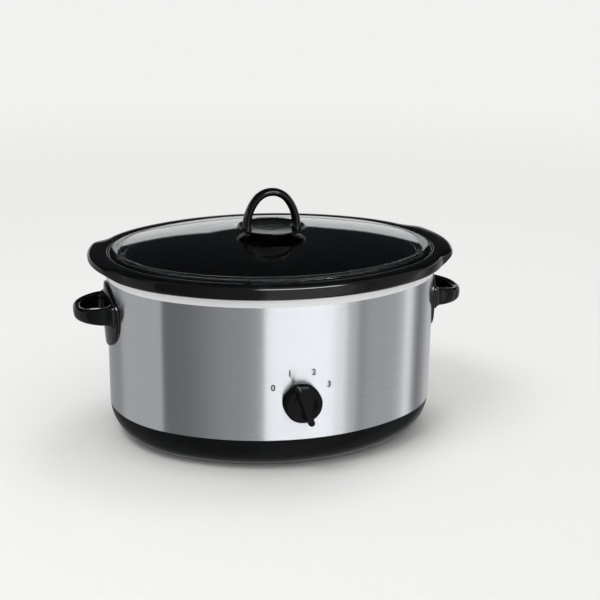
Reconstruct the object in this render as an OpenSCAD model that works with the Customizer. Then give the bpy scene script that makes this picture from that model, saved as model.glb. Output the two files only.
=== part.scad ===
// Oval slow cooker: a brushed steel wrap on a black base band, a heating well inside it,
// a lift-out stoneware crock, a glass lid and a rotary heat switch.
// Millimetres, +Z up, standing on z = 0, front towards -Y.
//
// The plan is a four-centre oval: two end arcs and two side arcs that meet where their
// common normal runs 3:4. Every ring is one profile carried round it, where profile x is
// the offset outwards from the steel's face and profile y is the height. The centres
// stay the same for every offset, so all the rings are parallel.

/* [Steel wrap] */
// Width of the steel wrap
wrap_w = 360; // [340:5:380]
// Depth of the steel wrap
wrap_d = 288; // [278:2:298]
// Height of the steel that shows between base band and rim
wrap_h = 143.2; // [130:0.4:160]
// Thickness of the steel wrap
wrap_t = 0.8; // [0.6:0.1:1]

/* [Base] */
// Height of the feet under the base band
foot_h = 2.5; // [2:0.5:5]
// Diameter of a foot
foot_d = 22; // [16:1:24]
// Sideways distance between the feet
foot_span_x = 210; // [190:5:220]
// Front-to-back distance between the feet
foot_span_y = 144; // [134:2:148]
// Diameter of the stem that holds a foot in the band
foot_stem_d = 8; // [6:0.5:9]
// Height of the black base band
band_h = 34.3; // [30:0.1:40]
// How far the band tucks in from top to bottom
band_tuck = 20.2; // [14:0.2:24]
// Wall of the base band
band_t = 2.5; // [2:0.1:3.5]
// Height of the band's tongue inside the steel
tongue_h = 8; // [6:0.5:8.5]
// Width of the flat lip under the base
lip_w = 35.5; // [34:0.5:40]
// Thickness of the steel bottom plate
plate_t = 1; // [0.8:0.1:1.5]
// How far the bottom plate reaches over the lip
plate_seat = 6; // [4:0.5:8]
// Rise of the dish in the middle of the bottom plate
dish_rise = 10; // [9:0.5:12]
// Radius of the flat top of that dish
dish_r = 16; // [14:0.5:20]
// Length of a vent slot
vent_l = 50; // [30:2:56]
// Width of a vent slot
vent_w = 4; // [3:0.5:5]
// Distance between two vent slots
vent_pitch = 10; // [8:0.5:11]
// Number of vent slots in a bank
vent_count = 6; // [3:1:6]
// Height of the cord hole's middle above the base band
inlet_rise = 16; // [15:0.5:22]
// Diameter of the cord hole in its bush
inlet_d = 7.4; // [6:0.2:9]

/* [Heating well] */
// Sheet thickness of the well
well_t = 0.8; // [0.6:0.1:1]
// Height of the bright rolled rim above the steel
rim_h = 10; // [8:0.5:13]
// Edge radius of the rolled rim
rim_r = 3; // [2:0.25:4]
// Inset of the well's neck from the steel's face
neck_inset = 14; // [12:0.5:16]
// Extra inset of the well's lower wall
well_step = 5; // [3:0.5:5.5]
// Height of the upright neck
neck_h = 25; // [20:1:35]
// Height of the slope between neck and lower wall
slope_h = 40; // [20:1:45]
// Corner radius at the well's floor
well_corner = 8; // [5:0.5:12]
// Gap under the stoneware
floor_gap = 6; // [3:0.5:10]
// Height of the heating band
heater_h = 46; // [30:1:50]
// Thickness of the heating band
heater_t = 2.4; // [1.6:0.1:3]
// Height of the strap that holds the heating band
strap_h = 8; // [6:0.5:12]
// Thickness of that strap
strap_t = 0.6; // [0.4:0.1:1]

/* [Stoneware] */
// Height of the crock under its flange
crock_h = 140; // [130:1:145]
// Wall of the crock
crock_wall = 6.5; // [5:0.25:8]
// Floor thickness of the crock
crock_floor = 8; // [6:0.5:10]
// Air gap between the crock's neck and the well
crock_gap = 2.5; // [2:0.25:3.5]
// How far the crock's wall draws in towards its foot
crock_taper = 7; // [6:0.25:9]
// Reach of the flange beyond the steel
flange_out = 11.5; // [9:0.5:14]
// Height of the flange
flange_h = 15; // [13:0.5:18]
// Upper edge radius of the flange
flange_top_r = 6; // [4:0.5:7]
// Lower edge radius of the flange
flange_low_r = 4; // [2:0.5:5]
// Extra reach of the two ears
ear_reach = 8; // [6:0.5:11]
// Thickness of an ear at its tip
ear_t = 7; // [6:0.5:9]
// Half angle that an ear takes, seen from the end arc's centre
ear_half = 32; // [28:1:36]
// Angle of the ear's rounded shoulder
ear_blend = 12; // [8:1:16]

/* [Lid] */
// Thickness of the glass
glass_t = 4; // [3:0.25:5]
// Play between the lid and the flange
lid_play = 0.8; // [0.5:0.1:1.5]
// Inset of the lid's recess from the steel's face
recess_inset = 1.9; // [1:0.1:4]
// How far the glass lies below the flange's top
lid_sink = 0.3; // [0:0.1:1.5]
// Width of the lid's flat rim
lid_rim_w = 7.3; // [6:0.1:10]
// Width of the step between rim and dome
lid_step_w = 3; // [2:0.25:5]
// Height of that step
lid_step_h = 2.5; // [1.5:0.25:4]
// Height of the dome above the step
dome_h = 12.3; // [8:0.5:16]
// Inset of the dome's level top from the steel's face
dome_inset = 120; // [100:2:124]
// Diameter of the dished disc under the lid's handle
disc_d = 75.5; // [66:0.5:84]
// Height of the disc's edge above the glass
disc_rise = 8.5; // [6:0.5:11]
// Outer width of the lid's handle
arch_w = 63; // [56:1:66]
// Height of the handle above the glass
arch_h = 49.5; // [44:0.5:54]
// Radius of the bow's crown, on its middle line
crown_r = 22; // [17:0.5:23]
// Thickness of the handle's bow
arch_t = 8.5; // [7:0.5:10]
// Front-to-back width of the bow
arch_b = 14; // [11:0.5:16]
// Thickness of the seal under the handle
seal_t = 1; // [0.6:0.1:2]
// Diameter of the lid's screw
lid_screw_d = 5; // [4:0.25:6]

/* [Side handles] */
// Width of the oval plate on the steel
plate_w = 86; // [80:1:90]
// Height of that plate
plate_h = 69; // [62:1:72]
// Thickness of that plate
grip_plate_t = 4.5; // [3.5:0.25:6]
// Height of the plate's middle above the base band
plate_rise = 103; // [90:1:106]
// How much higher than the plate's middle the loop sits
loop_rise = 4.7; // [2:0.1:6]
// Reach of the loop from the steel
loop_reach = 37; // [34:1:42]
// Width between the middles of the loop's two arms
loop_w = 62; // [56:1:66]
// Thickness of the loop
loop_t = 9; // [8:0.5:11]
// Height of the loop
loop_h = 13.6; // [12:0.2:17]
// Corner radius of the loop's middle line
loop_r = 27; // [20:0.5:27.5]
// Diameter of a handle screw
grip_screw_d = 3.5; // [3:0.1:4]

/* [Switch and knob] */
// Height of the knob's axis above the base band
knob_rise = 41.7; // [38:0.1:52]
// Diameter of the knob
knob_d = 40; // [38:0.5:46]
// Depth of the knob's skirt
knob_t = 11; // [9:0.5:13]
// Height of the grip bar in front of the skirt
grip_h = 9.8; // [6:0.2:12]
// Width of the grip bar
grip_w = 9; // [7:0.25:11]
// Reach of the bar's pointed end from the axis
grip_tip = 24; // [20:0.5:27]
// Gap between the knob and the steel
knob_gap = 1.2; // [0.8:0.1:2]
// Wall of the knob
knob_wall = 2; // [1.5:0.1:2.5]
// Diameter of the switch's shaft
shaft_d = 6; // [5:0.1:6.5]
// Running clearance round the shaft
shaft_play = 0.05; // [0.02:0.01:0.1]
// Diameter of the bush that guides the shaft
bush_d = 9; // [8:0.25:10]
// Width and height of the switch's body
switch_s = 29; // [27:0.5:31]
// Depth of the switch's body
switch_b = 10.5; // [8:0.5:11]
// Angle of the pointer at rest, from straight up towards the left
dial_rest = 20; // [20:20:20]
// Diameter of the switch's two screws
switch_screw_d = 3; // [2.5:0.1:3.5]
// Distance between those screws
switch_screw_gap = 23; // [22:0.5:24]
// Diameter of an insulated lead
lead_d = 3; // [2:0.2:3.4]

/* [Hidden] */

$fn = 96;
cut = 1;                                   // how far a cutter runs past what it cuts
seam = 0.01;                               // by which joined stretches overlap or step
steel = [0.78, 0.79, 0.80];
bright = [0.90, 0.91, 0.92];
zinc = [0.70, 0.71, 0.73];
black = [0.07, 0.07, 0.075];
rubber = [0.12, 0.12, 0.12];
copper = [0.76, 0.52, 0.34];

// Four-centre oval
a = wrap_w / 2;
b = wrap_d / 2;
end_r = (3 * b - a) / 2;
side_r = 2 * a - b;
end_x = 1.5 * (a - b);
side_y = 2 * (a - b);
join_angle = atan2(4, 3);
far = 2 * wrap_w;

// Heights
lip_z = foot_h + band_t;
band_top = foot_h + band_h;
wrap_top = band_top + wrap_h;
rim_top = wrap_top + rim_h;
crock_z = rim_top - crock_h;
well_floor = crock_z - floor_gap;
flange_top = rim_top + flange_h;
glass_rim_z = flange_top - lid_sink;
ledge_z = glass_rim_z - glass_t;
dome_z = glass_rim_z + lid_step_h;
glass_top = dome_z + dome_h;
handle_top = glass_top + arch_h;

// Insets from the steel's face
band_step = 0.3;                           // the band's top edge stands back from the steel
tongue_gap = 0.2;                          // between the steel and the band's tongue
well_low = neck_inset + well_step;
heater_in = well_low - well_t;
heater_out = heater_in - heater_t;
lip_in = band_step + band_tuck + lip_w;
plate_edge = lip_in - plate_seat;
crock_neck = neck_inset + crock_gap;
crock_foot = crock_neck + crock_taper;
lid_edge = recess_inset + lid_play;

// The whole cooker is set back so that it stands centred on the origin, front to back:
// the knob reaches further forward than the flange reaches back.
knob_reach = knob_gap + knob_t + grip_h;
centre_y = (knob_reach - flange_out) / 2;

knob_z = band_top + knob_rise;
plate_z = band_top + plate_rise;
loop_z = plate_z + loop_rise;
inlet_z = band_top + inlet_rise;

// Base: feet, vents, cord bush and centre fixing
button_h = 1.5;                            // rubber button above the lip
pad_edge = 1;
bank_x = dish_r + dish_rise + 2 * vent_w + vent_pitch;
inlet_wall = 2.8;
inlet_flange = 2;
inlet_depth = 4;
inlet_edge = 0.6;
bolt_d = 6;
bolt_play = 0.5;
seat_d = 16;
seat_t = 1.2;
nut_d = 11.5;
nut_h = 4.5;
nut_z = foot_h + 0.5;
bolt_end_z = nut_z - 0.5;
weld_d = 28;
weld_t = 1.5;
spring_r = 6;
spring_wire = 1.6;
spring_turns = 3;

// Heater, its strap and the fuse
heater_z = well_floor + well_corner + 6;
gap_x = 60;                                // the breaks in band and strap, left and right
heater_gap = 16;
strap_gap = 26;
strap_z = heater_z + heater_h / 2;
lug_h = 9;
strap_coil_r = 2.6;
strap_wire = 1;
strap_turns = 7;
fuse_d = 4.4;
fuse_l = 13;
fuse_x = -62;
fuse_z = well_floor + well_corner - 1;
clip_t = 0.8;
clip_l = 8;
fuse_inset = heater_in - clip_t - fuse_d / 2;
fuse_w = front_angle(fuse_x, fuse_inset);

// Switch, shaft and knob
switch_face = 0.65;                        // from the steel's inside to the switch's face
switch_back = wrap_t + switch_face + switch_b;
switch_floor = 3;                          // the shaft starts this far in front of the back
switch_screw_angle = asin(switch_screw_gap / 2 / side_r);
switch_screw_l = 8;
switch_head_h = 1.6;
slot_w = 0.8;
bush_proud = 0.8;
bush_hole_d = bush_d + 0.4;
tab_w = 5;
tab_t = 0.8;
tab_l = 6;
tab_pitch = 9;
tab_inset = switch_back - 3;
tab_z = knob_z - switch_s / 2 - tab_l;
knob_edge_r = 2;
hub_d = 13;
hub_start = 1.6;                           // the hub stands back from the knob's rim
knob_dish = 1;                             // depth of the dish in the knob's face
knob_front_t = 2.5;
bar_sink = 0.5;                            // by which the bar reaches into the face
bar_draw = 1.1;                            // by which its top is drawn in
bar_skirt = 5;                             // by which its ends run down over the skirt
shaft_flat = 0.8;
shaft_z = knob_t - knob_front_t;           // how far the shaft reaches into the knob
clip_ring_z = hub_start + 1.4;
clip_ring_h = 3;
clip_ring_t = 0.6;
clip_ring_gap = 2;

// Wiring
stub_l = 6;
lead_drop = 8;                             // room for a lead's turn below the terminals
cap_d = 8;
cap_l = 18;
cap_x = 14;
cap_inset = (wrap_t + heater_in) / 2;
wire_z = inlet_z - 1;
wire_inset = heater_out - lead_d - 0.5;
lead_lap = 16;                             // by which a lead lies on the heater
feed_start = 68;                           // angles on the well where the leads' points lie
feed_step = 17;
fuse_swing = 8;
heater_climb = [12, 17, 18];               // counted from the fuse
return_climb = [16, 22, 24];               // counted from the splice cap's mouth

// Side handles
grip_screw_angle = asin(loop_w / 2 / end_r);
grip_screw_l = 8.5;
grip_head_h = 1.8;
grip_head_z = wrap_t + 0.1;                // the flat head clears the curved steel
grip_edge = 1.5;                           // step of the plate's edge

// Stoneware
foot_recess = 1.5;
foot_ring_w = 7.5;
crock_corner = 11;
cavity_corner = 14;
ledge_r = 4;
recess_r = 1.2;
crock_cap = crock_foot + crock_corner + foot_ring_w + 18;
ear_root = 2;                              // where an ear's underside starts to rise
ear_slope = 40;
ear_low = 0.4;                             // shares of an ear's thickness in its two edges
ear_top = 0.5;
ear_steps = 24;                            // stations over an ear, beside it, on a side
rest_steps = 5;
side_steps = 20;

// Lid fittings
screw_bite = 3;                            // thread length in the handle
washer_d = 18;
washer_t = 1.2;
lid_head_h = 2.8;
crown_lap = 0.5;                           // angle by which the crown reaches into a flank

module placed() { translate([0, centre_y, 0]) children(); }

// ---- Oval ----

// Plan of the sector that an end arc fills, and of the one that a side arc fills
module end_sector() {
    translate([0, 0, -far]) linear_extrude(2 * far)
        polygon([[end_x, 0], [end_x + 3 * far, -4 * far], [end_x + 3 * far, 4 * far]]);
}

module side_sector() {
    translate([0, 0, -far]) linear_extrude(2 * far)
        polygon([[-end_x - seam, 0], [end_x + seam, 0], [end_x + seam + 3 * far, 4 * far],
            [-end_x - seam - 3 * far, 4 * far]]);
}

// Carries the profile round the oval
module sweep() {
    for (turn = [0, 180]) rotate([0, 0, turn]) {
        intersection() {
            translate([end_x, 0, 0]) rotate_extrude() intersection() {
                translate([end_r, 0]) children();
                translate([0, -far]) square([far, 2 * far]);
            }
            end_sector();
        }
        intersection() {
            translate([0, -side_y, 0]) rotate_extrude() translate([side_r, 0]) children();
            side_sector();
        }
    }
}

// A point of the oval where its outward normal points along angle w
function on_end(w) = abs(cos(w)) >= 0.6 - 1e-9;
function normal(w) = [cos(w), sin(w), 0];
function oval_point(w, out, z) = on_end(w)
    ? [sign(cos(w)) * end_x, 0, z] + (end_r + out) * normal(w)
    : [0, -sign(sin(w)) * side_y, z] + (side_r + out) * normal(w);

// Profile of a strip: a rectangle from one offset and height to another
module strip(x0, x1, z0, z1) { translate([x0, z0]) square([x1 - x0, z1 - z0]); }

// Quarter of a ring in the quadrant that sx and sy name
module corner(x, z, r_out, r_in, sx, sy) {
    translate([x, z]) intersection() {
        difference() { circle(r_out); circle(r_in); }
        translate([min(0, sx) * far, min(0, sy) * far]) square([far, far]);
    }
}

// Plane four-centre oval, w wide and h high
module oval_plan(w, h) {
    er = (1.5 * h - w / 2) / 2;
    sr = w - h / 2;
    ex = 0.75 * (w - h);
    sy = w - h;
    intersection() {
        translate([0, -sy]) circle(sr);
        translate([0, sy]) circle(sr);
        translate([-ex - 0.6 * er, -h]) square([2 * ex + 1.2 * er, 2 * h]);
    }
    for (s = [-1, 1]) translate([s * ex, 0]) circle(er);
}

// Section of a bow: t thick across x, w wide along y, with half-round edges
module bow_section(t, w) {
    square([t, w - t], center = true);
    for (s = [-1, 1]) translate([0, s * (w - t) / 2]) circle(d = t);
}

// Moves a piece to the side arc at the front, turned w degrees round the arc's centre,
// so that its own +Z points straight out of the steel
module on_front(w, z) {
    translate([0, side_y, z]) rotate([0, 0, w]) translate([0, -side_r, 0])
        rotate([90, 0, 0]) children();
}

// ---- Tubes and springs ----

function unit(v) = v / norm(v);
// Heading of a path at its point i: halfway between the stretches that meet there
function heading(p, i) = let (n = len(p) - 1)
    unit((i > 0 ? unit(p[i] - p[i - 1]) : [0, 0, 0]) + (i < n ? unit(p[i + 1] - p[i]) : [0, 0, 0]));
// Cubic span from point i to the next one, along the headings at both
function span(p, i, t) = let (l = norm(p[i + 1] - p[i]), u = 1 - t)
    u * u * (1 + 2 * t) * p[i] + t * t * (3 - 2 * t) * p[i + 1]
    + l * t * u * (u * heading(p, i) - t * heading(p, i + 1));
// Smooth path through the points, each span split in n steps
function smooth_path(p, n) = [for (i = [0 : len(p) - 2]) for (j = [0 : n - 1]) span(p, i, j / n),
    p[len(p) - 1]];

// A face with four corners as two triangles
function halves(c) = [[c[0], c[1], c[2]], [c[0], c[2], c[3]]];

// Round tube through the points, where refs are directions roughly square to the path.
// A coiled one has its faces halved, as they twist too much to stay whole.
module tube(path, refs, r, sides, coiled = false) {
    n = len(path);
    points = [for (i = [0 : n - 1])
        let (t = heading(path, i), u = unit(refs[i] - (refs[i] * t) * t), v = cross(t, u))
        for (k = [0 : sides - 1])
            path[i] + r * (cos(360 * k / sides) * u + sin(360 * k / sides) * v)];
    corners = [for (i = [0 : n - 2]) for (k = [0 : sides - 1])
        [i * sides + k, (i + 1) * sides + k,
            (i + 1) * sides + (k + 1) % sides, i * sides + (k + 1) % sides]];
    polyhedron(points, concat(
        [[for (k = [0 : sides - 1]) k], [for (k = [sides - 1 : -1 : 0]) (n - 1) * sides + k]],
        coiled ? [for (c = corners) each halves(c)] : corners));
}

// Helical spring that stands on z = 0: coil radius, wire radius, turns and height
module spring(coil_r, wire_r, turns, h, steps, sides) {
    n = turns * steps;
    rise = h - 2 * wire_r;
    tube([for (i = [0 : n]) [coil_r * cos(360 * i / steps), coil_r * sin(360 * i / steps),
            wire_r + rise * i / n]],
        [for (i = [0 : n]) [cos(360 * i / steps), sin(360 * i / steps), 0]],
        wire_r, sides, true);
}

// Point of the oval at an inset from the steel's face
function inside(w, inset, z) = oval_point(w, -inset, z);

// Three points in a line, so that a lead leaves p, or comes to it, straight along d
function stub(p, d) = [p, p + stub_l / 2 * d, p + stub_l * d];
function stub_end(p, d) = [p + stub_l * d, p + stub_l / 2 * d, p];

// Insulated lead through the points, each span split in n steps
module lead(points, n) {
    path = smooth_path(points, n);
    tube(path, [for (p = path) [p[0] / (a * a), p[1] / (b * b), 0]], lead_d / 2, 8);
}

// ---- Shell ----

module outer_wrap() {
    color(steel) placed() difference() {
        sweep() strip(-wrap_t, 0, band_top, rim_top - rim_r);
        on_front(0, knob_z) cylinder(d = bush_hole_d, h = 4 * wrap_t, center = true);
        for (s = [-1, 1])
            on_front(s * switch_screw_angle, knob_z)
                cylinder(d = switch_screw_d, h = 4 * wrap_t, center = true);
        grip_screws() cylinder(d = grip_screw_d, h = 4 * wrap_t, center = true);
        translate([0, b, inlet_z]) rotate([90, 0, 0])
            cylinder(d = inlet_d + 2 * inlet_wall, h = 6 * wrap_t, center = true);
    }
}

module heating_well() {
    color(bright) placed() sweep() {
        strip(0, well_t, wrap_top, rim_top - rim_r);
        corner(well_t - rim_r, rim_top - rim_r, rim_r, rim_r - well_t, 1, 1);
        strip(-neck_inset + rim_r, well_t - rim_r, rim_top - well_t, rim_top);
        corner(-neck_inset + rim_r, rim_top - rim_r, rim_r, rim_r - well_t, -1, 1);
        polygon([[-neck_inset, rim_top - rim_r], [-neck_inset, rim_top - neck_h],
            [-well_low, rim_top - neck_h - slope_h], [-well_low, well_floor + well_corner],
            [-well_low + well_t, well_floor + well_corner],
            [-well_low + well_t, rim_top - neck_h - slope_h],
            [-neck_inset + well_t, rim_top - neck_h],
            [-neck_inset + well_t, rim_top - rim_r]]);
        corner(-well_low - well_corner, well_floor + well_corner,
            well_corner + well_t, well_corner, 1, -1);
        strip(-b, -well_low - well_corner, well_floor - well_t, well_floor);
    }
}

// The band bulges in one arc from the steel's edge down to its foot
module base_band() {
    bulge_r = (band_tuck * band_tuck + band_h * band_h) / (2 * band_tuck);
    color(black) placed() difference() {
        sweep() {
            difference() {
                intersection() {
                    translate([-band_step - bulge_r, band_top]) circle(bulge_r);
                    strip(-band_step - band_tuck - band_h, 0, foot_h, band_top);
                }
                translate([-band_step - bulge_r, band_top]) circle(bulge_r - band_t);
            }
            strip(-lip_in, -band_step - band_tuck - band_t, foot_h, lip_z);
            strip(-wrap_t - tongue_gap - band_t, -wrap_t - tongue_gap,
                band_top - 1.2 * band_t, band_top + tongue_h);
        }
        feet() translate([0, 0, -cut]) cylinder(d = foot_stem_d, h = lip_z + 2 * cut);
    }
}

module feet(which = [[-1, -1], [1, -1], [-1, 1], [1, 1]]) {
    for (w = which) translate([w[0] * foot_span_x / 2, w[1] * foot_span_y / 2, 0]) children();
}

// Rubber foot: a pad with a rounded rim, a stem through the lip and a button above it
module foot(which) {
    color(rubber) placed() feet([which]) rotate_extrude() polygon([[0, 0],
        [foot_d / 2 - pad_edge, 0], [foot_d / 2, pad_edge], [foot_d / 2, foot_h],
        [foot_stem_d / 2, foot_h], [foot_stem_d / 2, lip_z],
        [foot_stem_d / 2 + pad_edge, lip_z], [foot_stem_d / 2, lip_z + button_h],
        [0, lip_z + button_h]]);
}

// Steel plate that closes the base, dished in the middle for the spring and nut
module bottom_plate() {
    color(zinc) placed() {
        difference() {
            sweep() strip(-b, -plate_edge, lip_z, lip_z + plate_t);
            translate([0, 0, lip_z - cut])
                cylinder(r = dish_r + dish_rise, h = plate_t + 2 * cut);
            for (side = [-1, 1], i = [0 : vent_count - 1])
                translate([side * (bank_x + i * vent_pitch), 0, lip_z - cut])
                    linear_extrude(plate_t + 2 * cut) bow_section(vent_w, vent_l);
        }
        rotate_extrude() polygon([[bolt_d / 2 + bolt_play, lip_z + dish_rise],
            [dish_r, lip_z + dish_rise], [dish_r + dish_rise, lip_z],
            [dish_r + dish_rise, lip_z + plate_t],
            [dish_r, lip_z + dish_rise + plate_t],
            [bolt_d / 2 + bolt_play, lip_z + dish_rise + plate_t]]);
    }
}

// Flanged bush in the cord's hole at the back
module cord_bush() {
    r = inlet_d / 2 + inlet_wall;
    color(black) placed() translate([0, b, inlet_z]) rotate([-90, 0, 0])
        rotate_extrude() polygon([[inlet_d / 2, -inlet_depth], [r, -inlet_depth], [r, 0],
            [r + inlet_flange, 0], [r + inlet_flange, inlet_flange - inlet_edge],
            [r + inlet_flange - inlet_edge, inlet_flange], [inlet_d / 2, inlet_flange]]);
}

// ---- Centre fixing ----

module centre_bolt() {
    color(zinc) placed() {
        translate([0, 0, bolt_end_z]) cylinder(d = bolt_d, h = well_floor - well_t - bolt_end_z);
        translate([0, 0, well_floor - well_t - weld_t]) cylinder(d = weld_d, h = weld_t);
    }
}

module centre_nut() {
    color(zinc) placed() translate([0, 0, nut_z]) difference() {
        cylinder(d = nut_d, h = nut_h, $fn = 6);
        translate([0, 0, -cut]) cylinder(d = bolt_d, h = nut_h + 2 * cut);
    }
}

module spring_seat() {
    color(zinc) placed() translate([0, 0, nut_z + nut_h]) difference() {
        cylinder(d = seat_d, h = seat_t);
        translate([0, 0, -cut]) cylinder(d = bolt_d, h = seat_t + 2 * cut);
    }
}

module tension_spring() {
    z0 = nut_z + nut_h + seat_t;
    color(zinc) placed() translate([0, 0, z0])
        spring(spring_r, spring_wire / 2, spring_turns, lip_z + dish_rise - z0, 16, 8);
}

// ---- Heater ----

// Block across the back wall from x0 to x1, to cut or keep a stretch of a ring
module back_block(x0, x1) { translate([x0, 0, 0]) cube([x1 - x0, b, 2 * rim_top]); }

module heater_band() {
    color([0.80, 0.76, 0.66]) placed() difference() {
        sweep() strip(-heater_in, -heater_out, heater_z, heater_z + heater_h);
        back_block(-gap_x - heater_gap / 2, -gap_x + heater_gap / 2);
    }
}

// The strap ends in two lugs, folded outwards, and its spring pulls them together
module heater_strap() {
    z0 = strap_z - strap_h / 2;
    color(zinc) placed() {
        difference() {
            sweep() strip(-heater_out, -heater_out + strap_t, z0, z0 + strap_h);
            back_block(gap_x - strap_gap / 2, gap_x + strap_gap / 2);
        }
        for (s = [-1, 1]) intersection() {
            sweep() strip(-heater_out, -heater_out + lug_h, z0, z0 + strap_h);
            back_block(gap_x + s * strap_gap / 2 + min(0, s) * strap_t,
                gap_x + s * strap_gap / 2 + max(0, s) * strap_t);
        }
    }
}

module strap_spring() {
    inset = heater_out - lug_h + strap_coil_r + strap_wire;
    from = inside(back_angle(gap_x - strap_gap / 2, inset), inset, strap_z);
    to = inside(back_angle(gap_x + strap_gap / 2, inset), inset, strap_z);
    color(zinc) placed() translate(from)
        rotate([0, 90, atan2(to[1] - from[1], to[0] - from[0])])
            spring(strap_coil_r, strap_wire / 2, strap_turns, norm(to - from), 12, 6);
}

// Angle of the normal at which the back side arc, inset by d, passes x
function back_angle(x, d) = acos(x / (side_r - d));
// The same at the front
function front_angle(x, d) = 360 - acos(x / (side_r - d));

// Thermal fuse in its clip, on the well's wall at the front left
module at_fuse() {
    translate(inside(fuse_w, fuse_inset, fuse_z)) rotate([0, 0, fuse_w + 90]) children();
}

module thermal_fuse() {
    color([0.85, 0.85, 0.82]) placed() at_fuse()
        rotate([0, 90, 0]) cylinder(d = fuse_d, h = fuse_l, center = true);
}

// The clip's back plate lies on the well and its two lips hold the fuse from above and below
module fuse_clip() {
    color(zinc) placed() at_fuse() difference() {
        translate([-clip_l / 2, -fuse_d / 2 - clip_t, -fuse_d / 2 - clip_t])
            cube([clip_l, clip_t + 0.8 * fuse_d, fuse_d + 2 * clip_t]);
        rotate([0, 90, 0]) cylinder(d = fuse_d, h = clip_l + 2 * cut, center = true);
    }
}

// ---- Switch and knob ----

module switch_body() {
    color([0.16, 0.14, 0.13]) placed() difference() {
        on_front(0, knob_z) {
            translate([0, 0, -switch_back + switch_b / 2])
                cube([switch_s, switch_s, switch_b], center = true);
            translate([0, 0, -switch_back]) cylinder(d = bush_d, h = switch_back + bush_proud);
        }
        on_front(0, knob_z) translate([0, 0, -switch_back + switch_floor])
            cylinder(d = shaft_d + 2 * shaft_play, h = switch_back + bush_proud);
        switch_screw_shanks();
    }
}

module switch_screw_shanks() {
    for (s = [-1, 1]) on_front(s * switch_screw_angle, knob_z)
        translate([0, 0, -switch_screw_l]) cylinder(d = switch_screw_d, h = switch_screw_l);
}

module switch_screws() {
    color(zinc) placed() {
        switch_screw_shanks();
        for (s = [-1, 1]) on_front(s * switch_screw_angle, knob_z) difference() {
            cylinder(d = 1.8 * switch_screw_d, h = switch_head_h);
            translate([0, 0, switch_head_h])
                cube([2 * switch_screw_d, slot_w, slot_w * 2], center = true);
        }
    }
}

// Three spade terminals under the switch
module switch_terminals() {
    color(copper) placed()
        for (i = [-1 : 1])
            translate([i * tab_pitch - tab_w / 2, -b + tab_inset - tab_t / 2,
                knob_z - switch_s / 2 - tab_l]) cube([tab_w, tab_t, tab_l]);
}

// Places a piece on the knob's axis: z = 0 is the knob's back, and +Y is the pointer
module on_knob() {
    on_front(0, knob_z) translate([0, 0, knob_gap]) rotate([0, 0, dial_rest]) children();
}

// Section of the shaft where the knob grips it
module d_section() {
    difference() {
        circle(d = shaft_d);
        translate([-shaft_d, shaft_d / 2 - shaft_flat]) square([2 * shaft_d, shaft_d]);
    }
}

// Outline of the grip bar, drawn in by the amount given: a pointed end and a round tail
module bar_outline(draw_in) {
    half = grip_w / 2 - draw_in;
    tail = -knob_d / 2 - 2 + draw_in;
    polygon([[0, grip_tip - draw_in], [half, grip_tip - 1.6 * grip_w / 2 - draw_in],
        [half, tail + half], [0.7 * half, tail + 0.3 * half], [0, tail],
        [-0.7 * half, tail + 0.3 * half], [-half, tail + half],
        [-half, grip_tip - 1.6 * grip_w / 2 - draw_in]]);
}

module control_knob() {
    kr = knob_d / 2;
    color(black) placed() on_knob() difference() {
        union() {
            rotate_extrude() difference() {
                union() {
                    square([kr, knob_t - knob_edge_r]);
                    square([kr - knob_edge_r, knob_t]);
                    translate([kr - knob_edge_r, knob_t - knob_edge_r]) circle(knob_edge_r);
                }
                translate([hub_d / 2, -cut])
                    square([kr - knob_wall - hub_d / 2, knob_t - knob_front_t + cut]);
                translate([-cut, -cut]) square([hub_d / 2 + 2 * cut, hub_start + cut]);
                translate([-cut, knob_t - knob_dish])
                    square([kr - 2 * knob_edge_r + cut, knob_dish + cut]);
            }
            hull() {
                translate([0, 0, knob_t - knob_dish - bar_sink])
                    linear_extrude(bar_sink) bar_outline(0);
                translate([0, 0, knob_t + grip_h - bar_sink])
                    linear_extrude(bar_sink) bar_outline(bar_draw);
            }
            translate([0, 0, knob_t - bar_skirt]) linear_extrude(bar_skirt) intersection() {
                bar_outline(0);
                difference() { circle(2 * kr); circle(kr - knob_wall); }
            }
        }
        translate([0, 0, -cut]) linear_extrude(shaft_z + cut) d_section();
    }
}

// Open steel ring round the knob's hub
module knob_spring() {
    color(zinc) placed() on_knob() translate([0, 0, clip_ring_z]) difference() {
        cylinder(d = hub_d + 2 * clip_ring_t, h = clip_ring_h);
        translate([0, 0, -cut]) cylinder(d = hub_d, h = clip_ring_h + 2 * cut);
        translate([0, -clip_ring_gap / 2, -cut])
            cube([hub_d, clip_ring_gap, clip_ring_h + 2 * cut]);
    }
}

module switch_shaft() {
    start = knob_gap + switch_back - switch_floor - 0.1;
    color(zinc) placed() on_knob() {
        translate([0, 0, -start]) cylinder(d = shaft_d, h = start + hub_start);
        translate([0, 0, hub_start]) linear_extrude(shaft_z - hub_start) d_section();
    }
}

// ---- Wiring ----

module splice_caps() {
    color([0.88, 0.84, 0.72]) placed()
        for (s = [-1, 1]) translate([s * cap_x, b - cap_inset, wire_z])
            rotate([0, s * 90, 0]) {
                cylinder(d1 = 0.6 * cap_d, d2 = cap_d, h = 0.4 * cap_l);
                translate([0, 0, 0.4 * cap_l]) cylinder(d = cap_d, h = 0.6 * cap_l);
            }
}

// Mouth of a splice cap, underside of a terminal and end of the fuse
function cap_mouth(s) = [s * (cap_x + cap_l), b - cap_inset, wire_z];
function tab_foot(i) = [i * tab_pitch, -b + tab_inset, tab_z];
function fuse_end(s) = inside(fuse_w, fuse_inset, fuse_z)
    + s * fuse_l / 2 * [-sin(fuse_w), cos(fuse_w), 0];
down = [0, 0, -1];
// Where a lead has turned sideways below its terminal
function under_tab(s) = tab_foot(s) + [1.5 * s * lead_drop, 0, -stub_l - lead_drop];

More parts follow.
